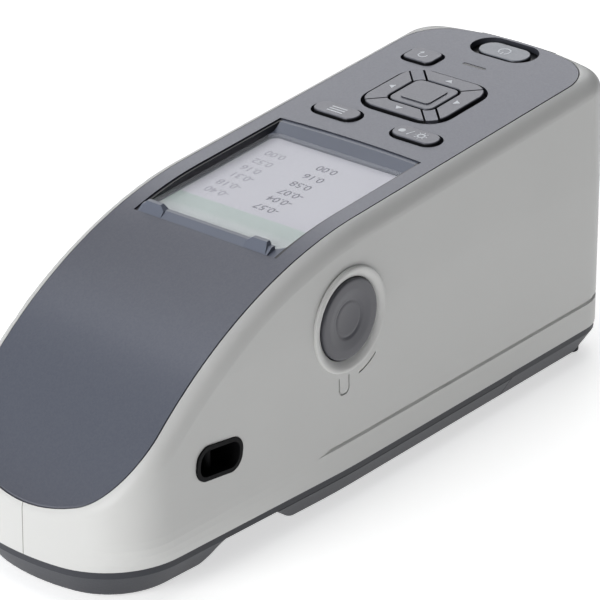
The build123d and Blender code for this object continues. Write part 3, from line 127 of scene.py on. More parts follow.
# Cloud, grain and depth are in millimetres
mouldings = {
    # ABS, injection moulded on a finely spark-eroded tool: neutral off-white with a soft, even sheen
    "whiteAbsMoulded": {"tint": "#cbcbc9", "shade": "#c6c6c4", "cloud": 40, "grain": 0.5, "depth": 0.012,
                        "roughness": 0.42},
    # ABS in a coarser grain: charcoal, it scatters light so that the base looks dry
    "graphiteAbsMoulded": {"tint": "#2b2d35", "shade": "#26282f", "cloud": 30, "grain": 0.6, "depth": 0.03,
                           "roughness": 0.5},
    # PC and ABS blend, polished tool: smooth dark grey of the button, with a soft highlight in its dish
    "buttonPcSatin": {"tint": "#57575d", "shade": "#515157", "cloud": 12, "grain": 0.4, "depth": 0.008,
                      "roughness": 0.38},
    # Nylon, matt: nearly black inside the strap slot and round the port
    "blackNylonMatt": {"tint": "#101012", "shade": "#0c0c0e", "cloud": 10, "grain": 0.5, "depth": 0.02,
                       "roughness": 0.6, "specular": 0.1},
    # TPE foot: black, slightly dusty, no gloss
    "footRubberMoulded": {"tint": "#232325", "shade": "#2b2b2d", "cloud": 3, "grain": 0.3, "depth": 0.03,
                          "roughness": 0.8, "specular": 0.3},
    # Silicone rubber sheet: pale and dull
    "siliconePressed": {"tint": "#b9bab8", "shade": "#aeb0ae", "cloud": 8, "grain": 0.4, "depth": 0.01,
                        "roughness": 0.65, "specular": 0.3},
    # Barium white coat inside the sphere: chalky, no gloss at all
    "sphereWhiteSprayed": {"tint": "#f2f1ee", "shade": "#ebeae6", "cloud": 6, "grain": 0.3, "depth": 0.02,
                           "roughness": 0.9, "specular": 0.2},
    # Acrylic, milky: the pale sheet that lights the display from behind
    "lightGuideMilky": {"tint": "#e9ebee", "shade": "#dfe2e6", "cloud": 5, "grain": 0.8, "depth": 0.004,
                        "roughness": 0.3},
    # Smoked acrylic of the status slit: dark and smooth while its light is off
    "statusLensDark": {"tint": "#33343a", "shade": "#2b2c31", "cloud": 2, "grain": 0.3, "depth": 0.002,
                       "roughness": 0.25},
    # Pad printing ink on the keys: a thin matt layer, slightly uneven
    "keyMarkInk": {"tint": "#dfe2e6", "shade": "#d3d7dc", "cloud": 1, "grain": 0.15, "depth": 0.004,
                   "roughness": 0.5},
    # Switched segments of the display, in the strong and in the faint column
    "lcdSegmentDark": {"tint": "#7b7885", "shade": "#74717f", "cloud": 2, "grain": 0.2, "depth": 0.001,
                       "roughness": 0.5},
    "lcdSegmentFaint": {"tint": "#adaab5", "shade": "#a7a4b0", "cloud": 2, "grain": 0.2, "depth": 0.001,
                        "roughness": 0.5},
    # Satin blue-grey moulding of the display's bezel: its far slope mirrors the sky
    "bezelSatinMoulded": {"tint": "#676c79", "shade": "#616673", "cloud": 15, "grain": 0.4, "depth": 0.006,
                          "roughness": 0.3},
}
materials = {name: mouldedPlastic(name, look) for name, look in mouldings.items()}

# Two of them change colour with the distance from the centre plane. The case halves meet there, and
# their fine joint reads as a thin grey line over nose and tail. The bezel's thin side walls get painted
# shade, near black.
jointLineAndPaintedShade = {
    "whiteAbsMoulded": {"colour": "#77776f", "plainAt": 0.156, "darkAt": 0.104},
    # painted shade: the bezel's side walls beside the display are darkened to near black, for the shade that
    # lies on them
    "bezelSatinMoulded": {"colour": "#26252a", "plainAt": 23.07, "darkAt": 23.17},
}


# Darkens a band by the distance from the centre plane: the case's joint line, and painted shade on the
# bezel's side walls
def paintJointLineAndShade(material, look):
    tree = material.node_tree
    shader = next(node for node in tree.nodes if node.type == "BSDF_PRINCIPLED")
    place = next(node for node in tree.nodes if node.type == "TEX_COORD").outputs["Object"]
    parts = addNode(tree, "ShaderNodeSeparateXYZ", {}, {"Vector": place})
    across = addNode(tree, "ShaderNodeMath", {"operation": "ABSOLUTE"}, {0: parts.outputs["Y"]})
    limits = {"From Min": look["plainAt"] * mm, "From Max": look["darkAt"] * mm}
    darkened = addNode(tree, "ShaderNodeMapRange", limits, {"Value": across.outputs[0]})
    paintOver(tree, shader, darkened.outputs["Result"], look["colour"])


for name, look in jointLineAndPaintedShade.items():
    paintJointLineAndShade(materials[name], look)

# Satin metallic lacquer on the top panel: fine flakes under a thin clear coat give a grey that
# turns from mauve, where it mirrors the pale room, to blue-grey, where it mirrors the dark
panelCoat = {"tint": "#5f616a", "shade": "#5a5c66", "flake": 0.45, "depth": 0.004, "relief": 0.25,
             "metallic": 0.55, "roughness": 0.36, "coat": 0.25, "coatRoughness": 0.2}


# Flakes are far finer than this in truth, and are drawn as coarse as they need to show
def flakeField(tree, shader, place, look):
    flakes = addNode(tree, "ShaderNodeTexVoronoi", {"Scale": 1 / (look["flake"] * mm)}, {"Vector": place})
    tone = addNode(tree, "ShaderNodeSeparateColor", {}, {"Color": flakes.outputs["Color"]})
    colourFrom(tree, shader, tone.outputs["Red"], look)
    roughnessFrom(tree, shader, tone.outputs["Green"], look["roughness"], 0.03)
    return flakes


def metallicLacquer(name, look):
    layers = {"Metallic": look["metallic"], "Coat Weight": look["coat"],
              "Coat Roughness": look["coatRoughness"]}
    material, tree, shader, place = startMaterial(name, layers)
    flakes = flakeField(tree, shader, place, look)
    reliefFrom(tree, shader, flakes.outputs["Distance"], look["depth"], look["relief"])
    return material


materials["greyMetallicLacquer"] = metallicLacquer("greyMetallicLacquer", panelCoat)

# The panel's own plane, where keys and display lie: u runs towards the tall end, w stands up from it
panelPlane = {"height": 78.9467, "slope": 3.7}
slope = math.radians(panelPlane["slope"])
panelMatrix = Matrix((
    (math.cos(slope), 0, -math.sin(slope), 0),
    (0, 1, 0, 0),
    (math.sin(slope), 0, math.cos(slope), panelPlane["height"] * mm),
    (0, 0, 0, 1)))


def heightOverPanel(tree, place):
    upwards = {"operation": "DOT_PRODUCT", 1: (-math.sin(slope), 0, math.cos(slope))}
    along = addNode(tree, "ShaderNodeVectorMath", upwards, {0: place})
    lowered = {"operation": "SUBTRACT", 1: panelPlane["height"] * mm * math.cos(slope)}
    return addNode(tree, "ShaderNodeMath", lowered, {0: along.outputs["Value"]}).outputs[0]


# Key caps are sprayed on top only, so their flanks stay black moulded plastic. The black flank is also
# painted shade, standing in for the dark gap round each key.
keyCoat = {"tint": "#65666d", "shade": "#606169", "flankAndShade": "#19191c", "paintedFrom": 0.45, "mist": 0.05,
           "flake": 0.45, "metallic": 0.45, "roughness": 0.34, "coat": 0.2, "coatRoughness": 0.2}
powerCoat = dict(keyCoat, tint="#787b82", shade="#73767d", paintedFrom=-0.7)    # it lies lower, in its pocket


def sprayedKey(name, look):
    layers = {"Coat Weight": look["coat"], "Coat Roughness": look["coatRoughness"]}
    material, tree, shader, place = startMaterial(name, layers)
    flakeField(tree, shader, place, look)
    height = heightOverPanel(tree, place)
    low, high = (look["paintedFrom"] - look["mist"]) * mm, (look["paintedFrom"] + look["mist"]) * mm
    # painted shade: below paintedFrom the cap turns near black, for the black flank and the shadowed gap
    # round it
    flankAndShadeMask = addNode(tree, "ShaderNodeMapRange", {"From Min": high, "From Max": low}, {"Value": height})
    paintOver(tree, shader, flankAndShadeMask.outputs["Result"], look["flankAndShade"])
    lustre = {"From Min": low, "From Max": high, "To Max": look["metallic"]}
    metal = addNode(tree, "ShaderNodeMapRange", lustre, {"Value": height})
    tree.links.new(metal.outputs["Result"], shader.inputs["Metallic"])
    return material


materials["keyCapSprayed"] = sprayedKey("keyCapSprayed", keyCoat)
materials["powerCapSprayed"] = sprayedKey("powerCapSprayed", powerCoat)

# Reflective liquid crystal display under a polariser film: lilac-grey, with a pale green title band and a
# paler foot. The bands run across, and their places are along X.
lcdLook = {"tint": "#d6d4dc", "shade": "#cfcdd6", "cloud": 25, "grain": 0.5, "depth": 0.001, "roughness": 0.4,
           "coat": 0.1, "coatRoughness": 0.15,
           "bands": [{"colour": "#bccbc5", "clearAt": -18.1, "fullAt": -19.1},
                     {"colour": "#d0d7d5", "clearAt": -23.5, "fullAt": -26.5}]}


def liquidCrystal(name, look):
    layers = {"IOR": 1.49, "Coat Weight": look["coat"], "Coat Roughness": look["coatRoughness"]}
    material, tree, shader, place = startMaterial(name, layers)
    cloudy = {"Scale": 1 / (look["cloud"] * mm), "Detail": 1.0}
    cloud = addNode(tree, "ShaderNodeTexNoise", cloudy, {"Vector": place})
    colourFrom(tree, shader, cloud.outputs["Fac"], look)
    along = addNode(tree, "ShaderNodeSeparateXYZ", {}, {"Vector": place}).outputs["X"]
    for band in look["bands"]:
        limits = {"From Min": band["clearAt"] * mm, "From Max": band["fullAt"] * mm}
        inBand = addNode(tree, "ShaderNodeMapRange", limits, {"Value": along})
        paintOver(tree, shader, inBand.outputs["Result"], band["colour"])
    mouldedGrain(tree, shader, place, look)
    roughnessFrom(tree, shader, cloud.outputs["Fac"], look["roughness"], 0.04)
    return material


materials["lcdPolariserFilm"] = liquidCrystal("lcdPolariserFilm", lcdLook)

# Clear parts: nearly invisible, with a thin reflection and faint wipe marks
clearLooks = {
    # Acrylic sheet, polished: the display's window
    "acrylicWindowClear": {"tint": "#e8ebf0", "shade": "#f4f6fa", "alpha": 0.12, "wipe": 14,
                           "roughness": 0.09},
    # Quartz tube and lens: harder and brighter, with a cold tint
    "quartzLampGlass": {"tint": "#dfe8ff", "shade": "#f4f6fa", "alpha": 0.35, "wipe": 14,
                        "roughness": 0.07},
}


def clearPart(name, look):
    material, tree, shader, place = startMaterial(name, {"Alpha": look["alpha"], "IOR": 1.49})
    smears = {"Scale": 1 / (look["wipe"] * mm), "Detail": 4.0}
    marks = addNode(tree, "ShaderNodeTexNoise", smears, {"Vector": place})
    colourFrom(tree, shader, marks.outputs["Fac"], look)
    roughnessFrom(tree, shader, marks.outputs["Fac"], look["roughness"], 0.04)
    return material


for name, look in clearLooks.items():
    materials[name] = clearPart(name, look)

# Metals: drawn, milled, anodised and ruled surfaces differ in the size and run of their lines
metals = {
    # Steel, zinc plated and passivated: cool grey with a light drawn grain
    "zincPlatedSteel": {"tint": "#c4c5c8", "shade": "#aeb0b4", "run": (1, 1, 0.2), "line": 0.4,
                        "roughness": 0.34},
    # Steel, black zinc: the case screws stay as dark as the base round them
    "blackZincSteel": {"tint": "#26272b", "shade": "#1f2024", "run": (1, 1, 0.2), "line": 0.4,
                       "roughness": 0.5},
    # Aluminium, milled: pale, with fine passes along the length
    "milledAluminium": {"tint": "#d2d4d6", "shade": "#bcbfc3", "run": (0.08, 1, 1), "line": 0.5,
                        "roughness": 0.3},
    # Cast aluminium, black anodised: dark with a metallic glow
    "blackAnodisedCasting": {"tint": "#2b2c30", "shade": "#232428", "run": (1, 1, 1), "line": 0.8,
                             "roughness": 0.45},
    # Ruled grating: mirror with lines drawn far coarser than the real 1/1200 mm so that they show
    "ruledGratingMirror": {"tint": "#dfe3ee", "shade": "#c9cfe2", "run": (1, 1, 0.02), "line": 0.2,
                           "roughness": 0.12},
}
metalRelief = {"depth": 0.004, "strength": 0.4}


def workedMetal(name, look):
    material, tree, shader, place = startMaterial(name, {"Metallic": 1.0})
    run = addNode(tree, "ShaderNodeMapping", {"Scale": look["run"]}, {"Vector": place})
    drawn = {"Scale": 1 / (look["line"] * mm), "Detail": 2.0}
    lines = addNode(tree, "ShaderNodeTexNoise", drawn, {"Vector": run.outputs["Vector"]})
    colourFrom(tree, shader, lines.outputs["Fac"], look)
    roughnessFrom(tree, shader, lines.outputs["Fac"], look["roughness"], 0.06)
    reliefFrom(tree, shader, lines.outputs["Fac"], metalRelief["depth"], metalRelief["strength"])
    return material


for name, look in metals.items():
    materials[name] = workedMetal(name, look)

# Circuit boards: green solder mask over copper tracks, drawn as a coarse grid of raised lines
boardLook = {"tint": "#1f5a35", "shade": "#23633b", "copper": "#2f7a4a", "track": 0.12, "pitch": 1.3,
             "trackRun": 3, "depth": 0.02, "relief": 0.5, "dust": 2, "roughness": 0.35, "coat": 0.4,
             "coatRoughness": 0.15}


def solderMaskBoard(name, look):
    layers = {"IOR": 1.5, "Coat Weight": look["coat"], "Coat Roughness": look["coatRoughness"]}
    material, tree, shader, place = startMaterial(name, layers)
    layout = {
        "offset": 0.5, "Scale": 1.0, "Mortar Size": look["track"] * mm,
        "Brick Width": look["pitch"] * mm * look["trackRun"], "Row Height": look["pitch"] * mm,
        "Color1": toLinear(look["tint"]), "Color2": toLinear(look["shade"]),
        "Mortar": toLinear(look["copper"])}
    tracks = addNode(tree, "ShaderNodeTexBrick", layout, {"Vector": place})
    tree.links.new(tracks.outputs["Color"], shader.inputs["Base Color"])
    dust = addNode(tree, "ShaderNodeTexNoise", {"Scale": 1 / (look["dust"] * mm)}, {"Vector": place})
    roughnessFrom(tree, shader, dust.outputs["Fac"], look["roughness"], 0.05)
    reliefFrom(tree, shader, tracks.outputs["Fac"], look["depth"], look["relief"])
    return material


materials["solderMaskGreen"] = solderMaskBoard("solderMaskGreen", boardLook)

# Printed sleeves on the cells and the capacitor: glossy film with plain bands round it
sleeves = {
    "cellSleevePrinted": {"tint": "#27304a", "shade": "#a9adb5", "band": 45},
    "capacitorSleeveShrunk": {"tint": "#12141c", "shade": "#2a2e3a", "band": 30},
}
sleeveFilm = {"roughness": 0.35, "coat": 0.5, "coatRoughness": 0.1}
waveUnit = 20    # a band texture repeats this many times faster than its scale says


def printedSleeve(name, look):
    layers = {"Coat Weight": sleeveFilm["coat"], "Coat Roughness": sleeveFilm["coatRoughness"]}
    material, tree, shader, place = startMaterial(name, layers)
    banded = {"wave_type": "BANDS", "bands_direction": "X", "Distortion": 0.0,
              "Scale": 1 / (look["band"] * mm) / waveUnit}
    along = addNode(tree, "ShaderNodeTexWave", banded, {"Vector": place})
    colourFrom(tree, shader, along.outputs["Fac"], look)
    roughnessFrom(tree, shader, along.outputs["Fac"], sleeveFilm["roughness"], 0.05)
    return material


for name, look in sleeves.items():
    materials[name] = printedSleeve(name, look)
print("materials made:", len(materials))

# Which finish each CAD node takes
nodeFinish = {
    "whiteAbsMoulded": ["right_shell", "left_shell", "connector_flap"],
    "greyMetallicLacquer": ["top_panel", "nav_corner_fillers"],
    "graphiteAbsMoulded": ["bottom_cover", "battery_door", "rear_base"],
    "bezelSatinMoulded": ["display_bezel"],
    "acrylicWindowClear": ["display_window"],
    "lcdPolariserFilm": ["lcd_panel"],
    "lightGuideMilky": ["backlight"],
    "statusLensDark": ["status_light"],
    "solderMaskGreen": ["display_board", "key_board", "switch_board", "lamp_board", "sensor_board",
                        "main_board", "power_board"],
    "keyCapSprayed": ["menu_key", "backlight_key", "corner_key", "select_key",
                      "up_key", "left_key", "down_key", "right_key"],
    "powerCapSprayed": ["power_key"],
    "siliconePressed": ["key_mat"],
    "blackNylonMatt": ["strap_insert", "strap_bar", "port_ring", "target_mask", "measure_switch",
                       "battery_holder", "board_chips", "line_sensor", "power_socket"],
    "blackZincSteel": ["case_screws"],
    "zincPlatedSteel": ["panel_screws", "board_screws", "battery_contacts", "usb_socket"],
    "cellSleevePrinted": ["battery_cells"],
    "sphereWhiteSprayed": ["front_sphere", "rear_sphere"],
    "quartzLampGlass": ["flash_lamp", "receiver_lens"],
    "milledAluminium": ["lamp_housing", "optics_chassis", "receiver_tube"],
    "blackAnodisedCasting": ["spectrometer_block", "spectrometer_cover"],
    "ruledGratingMirror": ["grating"],
    "capacitorSleeveShrunk": ["flash_capacitor"],
}
for finish, names in nodeFinish.items():
    for name in names:
        finishes = nodes[name].data.materials
        if not finishes:
            finishes.append(materials[finish])
        for slotNumber in range(len(finishes)):
            finishes[slotNumber] = materials[finish]
dressed = {name for names in nodeFinish.values() for name in names}
print("nodes left for pieces:", sorted(set(nodes) - dressed))


def keepMesh(name, mesh, material, body):
    obj = bpy.data.objects.new(name, mesh)
    bpy.context.scene.collection.objects.link(obj)
    mesh.materials.clear()
    mesh.materials.append(material)
    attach(obj, body)
    return obj


def meshFrom(name, vertices, faces):
    mesh = bpy.data.meshes.new(name)
    mesh.from_pydata([tuple(v) for v in vertices], [], faces)
    return mesh


def scaled(point):
    return tuple(c * mm for c in point)


# Geometry Nodes: a turned piece, set on one or more points. A grid is wrapped round the axis, and two float
# curves, drawn from the profile, say how far out and how high each row of it lies.
def turnedTree(name, profile, inputs):
    tree = bpy.data.node_groups.new(name, "GeometryNodeTree")
    for socketName, kind in inputs.items():
        tree.interface.new_socket(name=socketName, in_out="INPUT", socket_type=kind)
    tree.interface.new_socket(name="Mesh", in_out="OUTPUT", socket_type="NodeSocketGeometry")
    given = addNode(tree, "NodeGroupInput").outputs
    rows = {"Vertices X": given["Sides"], "Vertices Y": given["Steps"]}
    grid = addNode(tree, "GeometryNodeMeshGrid", {"Size X": 1.0, "Size Y": 1.0}, rows)
    position = addNode(tree, "GeometryNodeInputPosition").outputs[0]
    spot = addNode(tree, "ShaderNodeSeparateXYZ", {}, {"Vector": position})
    wrap = {"operation": "MULTIPLY_ADD", 1: 2 * math.pi, 2: math.pi}
    turn = addNode(tree, "ShaderNodeMath", wrap, {0: spot.outputs["X"]}).outputs[0]
    share = addNode(tree, "ShaderNodeMath", {"operation": "ADD", 1: 0.5}, {0: spot.outputs["Y"]}).outputs[0]
    radii, heights = [radius for radius, height in profile], [height for radius, height in profile]
    curves = []
    for values, low in ((radii, 0.0), (heights, min(heights))):
        size = max(values) - low
        rule = addNode(tree, "ShaderNodeFloatCurve", {}, {"Value": share})
        line = rule.mapping.curves[0]
        stops = [(number / (len(values) - 1), (value - low) / size) for number, value in enumerate(values)]
        line.points[0].location, line.points[1].location = stops[0], stops[-1]
        for stop in stops[1:-1]:
            line.points.new(*stop)
        for point in line.points:
            point.handle_type = "VECTOR"
        rule.mapping.update()
        real = {"operation": "MULTIPLY_ADD", 1: size * mm, 2: low * mm}
        curves.append(addNode(tree, "ShaderNodeMath", real, {0: rule.outputs[0]}).outputs[0])
    radius, height = curves
    sides = {}
    for axis, wave in (("X", "COSINE"), ("Y", "SINE")):
        swing = addNode(tree, "ShaderNodeMath", {"operation": wave}, {0: turn}).outputs[0]
        out = addNode(tree, "ShaderNodeMath", {"operation": "MULTIPLY"}, {0: swing, 1: radius})
        sides[axis] = out.outputs[0]
    place = addNode(tree, "ShaderNodeCombineXYZ", {}, {"X": sides["X"], "Y": sides["Y"], "Z": height})
    moved = {"Geometry": grid.outputs["Mesh"], "Position": place.outputs[0]}
    shaped = addNode(tree, "GeometryNodeSetPosition", {}, moved)
    near = {"Distance": weld["seam"] * mm}
    closed = addNode(tree, "GeometryNodeMergeByDistance", near, {"Geometry": shaped.outputs["Geometry"]})
    placed = {"Points": given["Points"], "Instance": closed.outputs["Geometry"], "Rotation": given["Turn"]}
    spread = addNode(tree, "GeometryNodeInstanceOnPoints", {}, placed)
    whole = addNode(tree, "GeometryNodeRealizeInstances", {}, {"Geometry": spread.outputs["Instances"]})
    smooth = addNode(tree, "GeometryNodeSetShadeSmooth", {}, {"Geometry": whole.outputs["Geometry"]})
    coated = {"Geometry": smooth.outputs["Geometry"], "Material": given["Finish"]}
    finished = addNode(tree, "GeometryNodeSetMaterial", {}, coated)
    addNode(tree, "NodeGroupOutput", {}, {"Mesh": finished.outputs["Geometry"]})
    return tree


turnedInputs = {"Points": "NodeSocketGeometry", "Sides": "NodeSocketInt", "Steps": "NodeSocketInt",
                "Turn": "NodeSocketRotation", "Finish": "NodeSocketMaterial"}
weld = {"seam": 0.002, "double": 0.001, "sliver": 0.0005}    # in millimetres


def weldMesh(mesh, slivers=False, outwards=False):
    shell = bmesh.new()
    shell.from_mesh(mesh)
    bmesh.ops.remove_doubles(shell, verts=shell.verts, dist=weld["double"] * mm)
    if slivers:
        bmesh.ops.dissolve_degenerate(shell, edges=shell.edges, dist=weld["sliver"] * mm)
    if outwards:
        bmesh.ops.recalc_face_normals(shell, faces=shell.faces)
    shell.to_mesh(mesh)
    shell.free()


def growTurned(name, look, places, turn, body, finish):
    steps = (len(look["profile"]) - 1) * look["perStep"] + 1
    values = {"Sides": look["sides"], "Steps": steps, "Turn": turn, "Finish": materials[finish]}
    tree = turnedTree(name, look["profile"], turnedInputs)
    seed = bpy.data.objects.new(name + "Seed", meshFrom(name + "Seed", map(scaled, places), []))
    bpy.context.scene.collection.objects.link(seed)
    maker = seed.modifiers.new(name, "NODES")
    maker.node_group = tree
    for item in tree.interface.items_tree:
        if item.in_out == "INPUT" and item.name in values:
            maker[item.identifier] = values[item.name]
    bpy.context.view_layer.update()
    graph = bpy.context.evaluated_depsgraph_get()
    mesh = bpy.data.meshes.new_from_object(seed.evaluated_get(graph))
    seed.modifiers.remove(maker)
    bpy.data.objects.remove(seed)
    mesh.name = name
    weldMesh(mesh, slivers=True, outwards=True)
    mesh.shade_smooth()
    print("grown", name, "faces", len(mesh.polygons))
    return keepMesh(name, mesh, materials[finish], body)


unturned = (0.0, 0.0, 0.0)
sideways = (math.pi / 2, 0.0, 0.0)    # the profile's axis looks along -Y, out of the button's side

# Raised ring round the measuring button: rounded outer lip, flat crown, slope down to the button.
# Profiles hold a radius and a height for each stop.
buttonRing = {"centre": (-17.6, -34.325, 53.4), "sides": 160, "perStep": 4,
              "profile": [(11.5, -2.2), (11.5, -0.75), (11.9, -0.45), (12.6, 0.1), (13.1, 0.42), (13.5, 0.6),
                          (13.9, 0.65), (14.25, 0.58), (14.5, 0.4), (14.6, 0.1), (14.6, -0.5), (12.9, -0.5),
                          (12.9, -2.2), (11.5, -2.2)]}
ring = growTurned("raisedButtonRing", buttonRing, [buttonRing["centre"]], sideways,
                  "case", "whiteAbsMoulded")
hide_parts("button_ring")

# Measuring button: flat rim, shallow dish with a soft dimple ring in it, and the stem that reaches the switch
buttonCap = {"centre": (-17.6, -34.475, 53.4), "sides": 160, "perStep": 3,
             "profile": [(0.0, -1.0), (1.6, -0.96), (3.2, -0.85), (4.2, -0.74), (4.6, -0.76), (4.85, -0.84),
                         (5.1, -0.84), (5.35, -0.72), (5.8, -0.51), (6.8, -0.32), (7.7, -0.13), (8.4, -0.02),
                         (9.4, 0.0), (10.5, 0.0), (10.95, -0.1), (11.2, -0.4), (11.2, -3.6), (3.0, -3.6),
                         (3.0, -6.6), (0.0, -6.6)]}
cap = growTurned("dishedButtonCap", buttonCap, [buttonCap["centre"]], sideways,
                 "measure_button", "buttonPcSatin")
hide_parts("measure_button")

# Coil spring behind the button: the solid's own coil, squeezed between the cap's back and the switch board
coil = nodes["button_spring"].data.copy()
coil.name = "drawnButtonSpring"
weldMesh(coil)
spring = keepMesh("drawnButtonSpring", coil, materials["zincPlatedSteel"], "case")
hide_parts("button_spring")
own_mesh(spring)

# Rubber feet: two raised rings on each sole, rounded at the edge, let into the base
rubberFoot = {"places": [(-86.0, -15.0, 0.0), (-86.0, 15.0, 0.0), (89.75, -19.6, 0.0), (89.75, 19.6, 0.0)],
              "sides": 64, "perStep": 2,
              "profile": [(0.0, 0.14), (1.3, 0.14), (1.6, 0.0), (2.1, 0.0), (2.4, 0.14), (3.0, 0.14),
                          (3.3, 0.0), (3.9, 0.0), (4.3, 0.15), (4.5, 0.5), (4.5, 1.4), (0.0, 1.4)]}
feet = growTurned("ringedRubberFeet", rubberFoot, rubberFoot["places"], unturned,
                  "case", "footRubberMoulded")
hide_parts("rubber_feet")
print("turned pieces made")

# The power key's room runs past the panel's far edge on both sides, and two slim fillets close the white rim
# there. Their near side follows the panel's bowed edge, and their top follows the case's rounded shoulder.
rimFill = {"gap": 0.3, "bow": 6.0, "roomEnd": 101.52, "overlap": 0.01, "from": 5.6, "to": 12.72, "depth": 1.5,
           "steps": 10, "bodyEnd": 105.5, "bodyHalf": 35.0, "edgeRadius": 5.0}


def rimTop(x, y, look):
    edge = look["edgeRadius"]
    roundFrom = look["bodyEnd"] - look["bow"] * (y / look["bodyHalf"]) ** 2 - edge
    past = max(0.0, x - roundFrom)
    drop = edge - math.sqrt(edge ** 2 - past ** 2)
    return panelPlane["height"] + x * math.tan(slope) - drop


def rimFillet(name, side, look):
    panelEnd, panelHalf = (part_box("top_panel")[1][axis] / mm + look["gap"] for axis in (0, 1))
    far = look["roomEnd"]
    vertices = []
    for number in range(look["steps"] + 1):
        y = look["from"] + (look["to"] - look["from"]) * number / look["steps"]
        near = min(panelEnd - look["bow"] * (y / panelHalf) ** 2, far - look["overlap"])
        for sink in (0.0, look["depth"]):
            vertices += [scaled((x, side * y, rimTop(x, y, look) - sink)) for x in (near, far)]
    last = 4 * look["steps"]
    faces = [(0, 1, 3, 2), (last, last + 2, last + 3, last + 1)]
    for a in range(0, last, 4):
        faces += [(a + i, a + 4 + i, a + 4 + j, a + j) for i, j in ((0, 1), (1, 3), (3, 2), (2, 0))]
    mesh = meshFrom(name, vertices, faces)
    weldMesh(mesh, outwards=True)
    keepMesh(name, mesh, materials["whiteAbsMoulded"], "case")


rimFillet("rimFilletLeft", 1, rimFill)
rimFillet("rimFilletRight", -1, rimFill)
print("rim closed beside the power key")


# Printed marks. Their frame: x along the text, which runs to +Y, and y up the letters, towards the nose
def markMatrix(u, v, w):
    turned = Matrix(((0, -1, 0, u * mm), (1, 0, 0, v * mm), (0, 0, 1, w * mm), (0, 0, 0, 1)))
    return panelMatrix @ turned


def barShape(x0, y0, x1, y1, width):
    along = Vector((x1 - x0, y1 - y0)).normalized() * width / 2
    across = Vector((-along.y, along.x))
    ends = ((x0, y0, -1), (x1, y1, -1), (x1, y1, 1), (x0, y0, 1))
    return [(x + side * across.x, y + side * across.y) for x, y, side in ends]


def arcShapes(x, ring, start, end, count=24):
    inner, outer = ring
    shapes = []
    for number in range(count):
        a, b = (math.radians(start + (end - start) * (number + k) / count) for k in (0, 1))
        corners = ((inner, a), (outer, a), (outer, b), (inner, b))
        shapes.append([(x + r * math.cos(t), r * math.sin(t)) for r, t in corners])
    return shapes


def printMark(name, shapes, at, w, body):
    vertices, faces = [], []
    for shape in shapes:
        faces.append(tuple(range(len(vertices), len(vertices) + len(shape))))
        vertices += [scaled((x, y, 0)) for x, y in shape]
    mesh = meshFrom(name, vertices, faces)
    mesh.transform(markMatrix(at[0], at[1], w))
    keepMesh(name, mesh, materials["keyMarkInk"], body)


# Readings on the display: a dark column of differences and a fainter column beside it.
# Each stands at its u, and the columns start at their v. The built-in letters stand 0.7 of their size.
readings = {"letter": 2.7, "letterShare": 0.7, "boldness": 0.07, "w": -3.392, "minusRoom": 1.6}
readingColumns = {
    "dark": {"start": -5.6, "ink": "lcdSegmentDark", "rows": [
        ("0.00", 12.0), ("0.16", 6.3), ("0.58", 1.0), ("-0.07", -4.3), ("-0.04", -9.0), ("-0.57", -14.4)]},
    "faint": {"start": 11.6, "ink": "lcdSegmentFaint", "rows": [
        ("0.00", 11.2), ("0.52", 5.8), ("0.16", 0.9), ("-0.31", -3.8), ("-0.18", -9.2), ("-0.40", -14.1)]},
}


def printReadings(name, column, look):
    whole = bmesh.new()
    for words, u in column["rows"]:
        v = column["start"] - (look["minusRoom"] if words[0] == "-" else 0)
        curve = bpy.data.curves.new(name + "Curve", "FONT")
        curve.body = words
        curve.size = look["letter"] / look["letterShare"] * mm
        curve.offset = look["boldness"] * mm
        holder = bpy.data.objects.new(name + "Curve", curve)
        bpy.context.scene.collection.objects.link(holder)
        bpy.context.view_layer.update()
        graph = bpy.context.evaluated_depsgraph_get()
        flat = bpy.data.meshes.new_from_object(holder.evaluated_get(graph))
        bpy.data.objects.remove(holder)
        flat.transform(markMatrix(u + look["letter"] / 2, v, look["w"]))
        whole.from_mesh(flat)
        bpy.data.meshes.remove(flat)
    mesh = bpy.data.meshes.new(name)
    whole.to_mesh(mesh)
    whole.free()
    keepMesh(name, mesh, materials[column["ink"]], "case")


for shade, column in readingColumns.items():
    printReadings(shade + "Readings", column, readings)

# Pad printed marks on the keys, a hair above the caps
capTops = {"key": 0.712, "power": -0.388}
arrowMark = {"padCentre": 57.6, "reach": 10.6, "tip": 1.05, "back": 0.6, "half": 1.2}
for name in ("up_key", "left_key", "down_key", "right_key"):
    low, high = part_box(name)
    middle = panelMatrix.inverted() @ Vector([(low[k] + high[k]) / 2 for k in range(3)])
    away = Vector((middle.x / mm - arrowMark["padCentre"], middle.y / mm)).normalized()
    spot = Vector((arrowMark["padCentre"], 0)) + away * arrowMark["reach"]
    ahead, across = Vector((away.y, -away.x)), away    # in the mark's frame, which is turned a quarter
    corners = [ahead * arrowMark["tip"], across * arrowMark["half"] - ahead * arrowMark["back"],
               -across * arrowMark["half"] - ahead * arrowMark["back"]]
    printMark(name + "Arrow", [[tuple(c) for c in corners]], spot, capTops["key"], name)

menuMark = {"at": (36.4, 13.6), "half": 2.6, "levels": (-1.2, 0, 1.2), "width": 0.5}
bars = [barShape(-menuMark["half"], level, menuMark["half"], level, menuMark["width"])
        for level in menuMark["levels"]]
printMark("menuBars", bars, menuMark["at"], capTops["key"], "menu_key")

# A small sun, a slash and a dot
sunMark = {"at": (36.4, -12.4), "sunX": -2.9, "ring": (0.75, 1.25), "rays": 8, "ray": (1.5, 2.0),
           "rayWidth": 0.3, "slash": (0.2, -1.3, 1.2, 1.3, 0.35), "dotX": 3.6, "dot": (0.0, 1.0)}
sun = arcShapes(sunMark["sunX"], sunMark["ring"], 0, 360)
sun.append(barShape(*sunMark["slash"]))
sun += arcShapes(sunMark["dotX"], sunMark["dot"], 0, 360)
for number in range(sunMark["rays"]):
    angle = 2 * math.pi * number / sunMark["rays"]
    ends = [(sunMark["sunX"] + r * math.cos(angle), r * math.sin(angle)) for r in sunMark["ray"]]
    sun.append(barShape(*ends[0], *ends[1], sunMark["rayWidth"]))
printMark("backlightSun", sun, sunMark["at"], capTops["key"], "backlight_key")

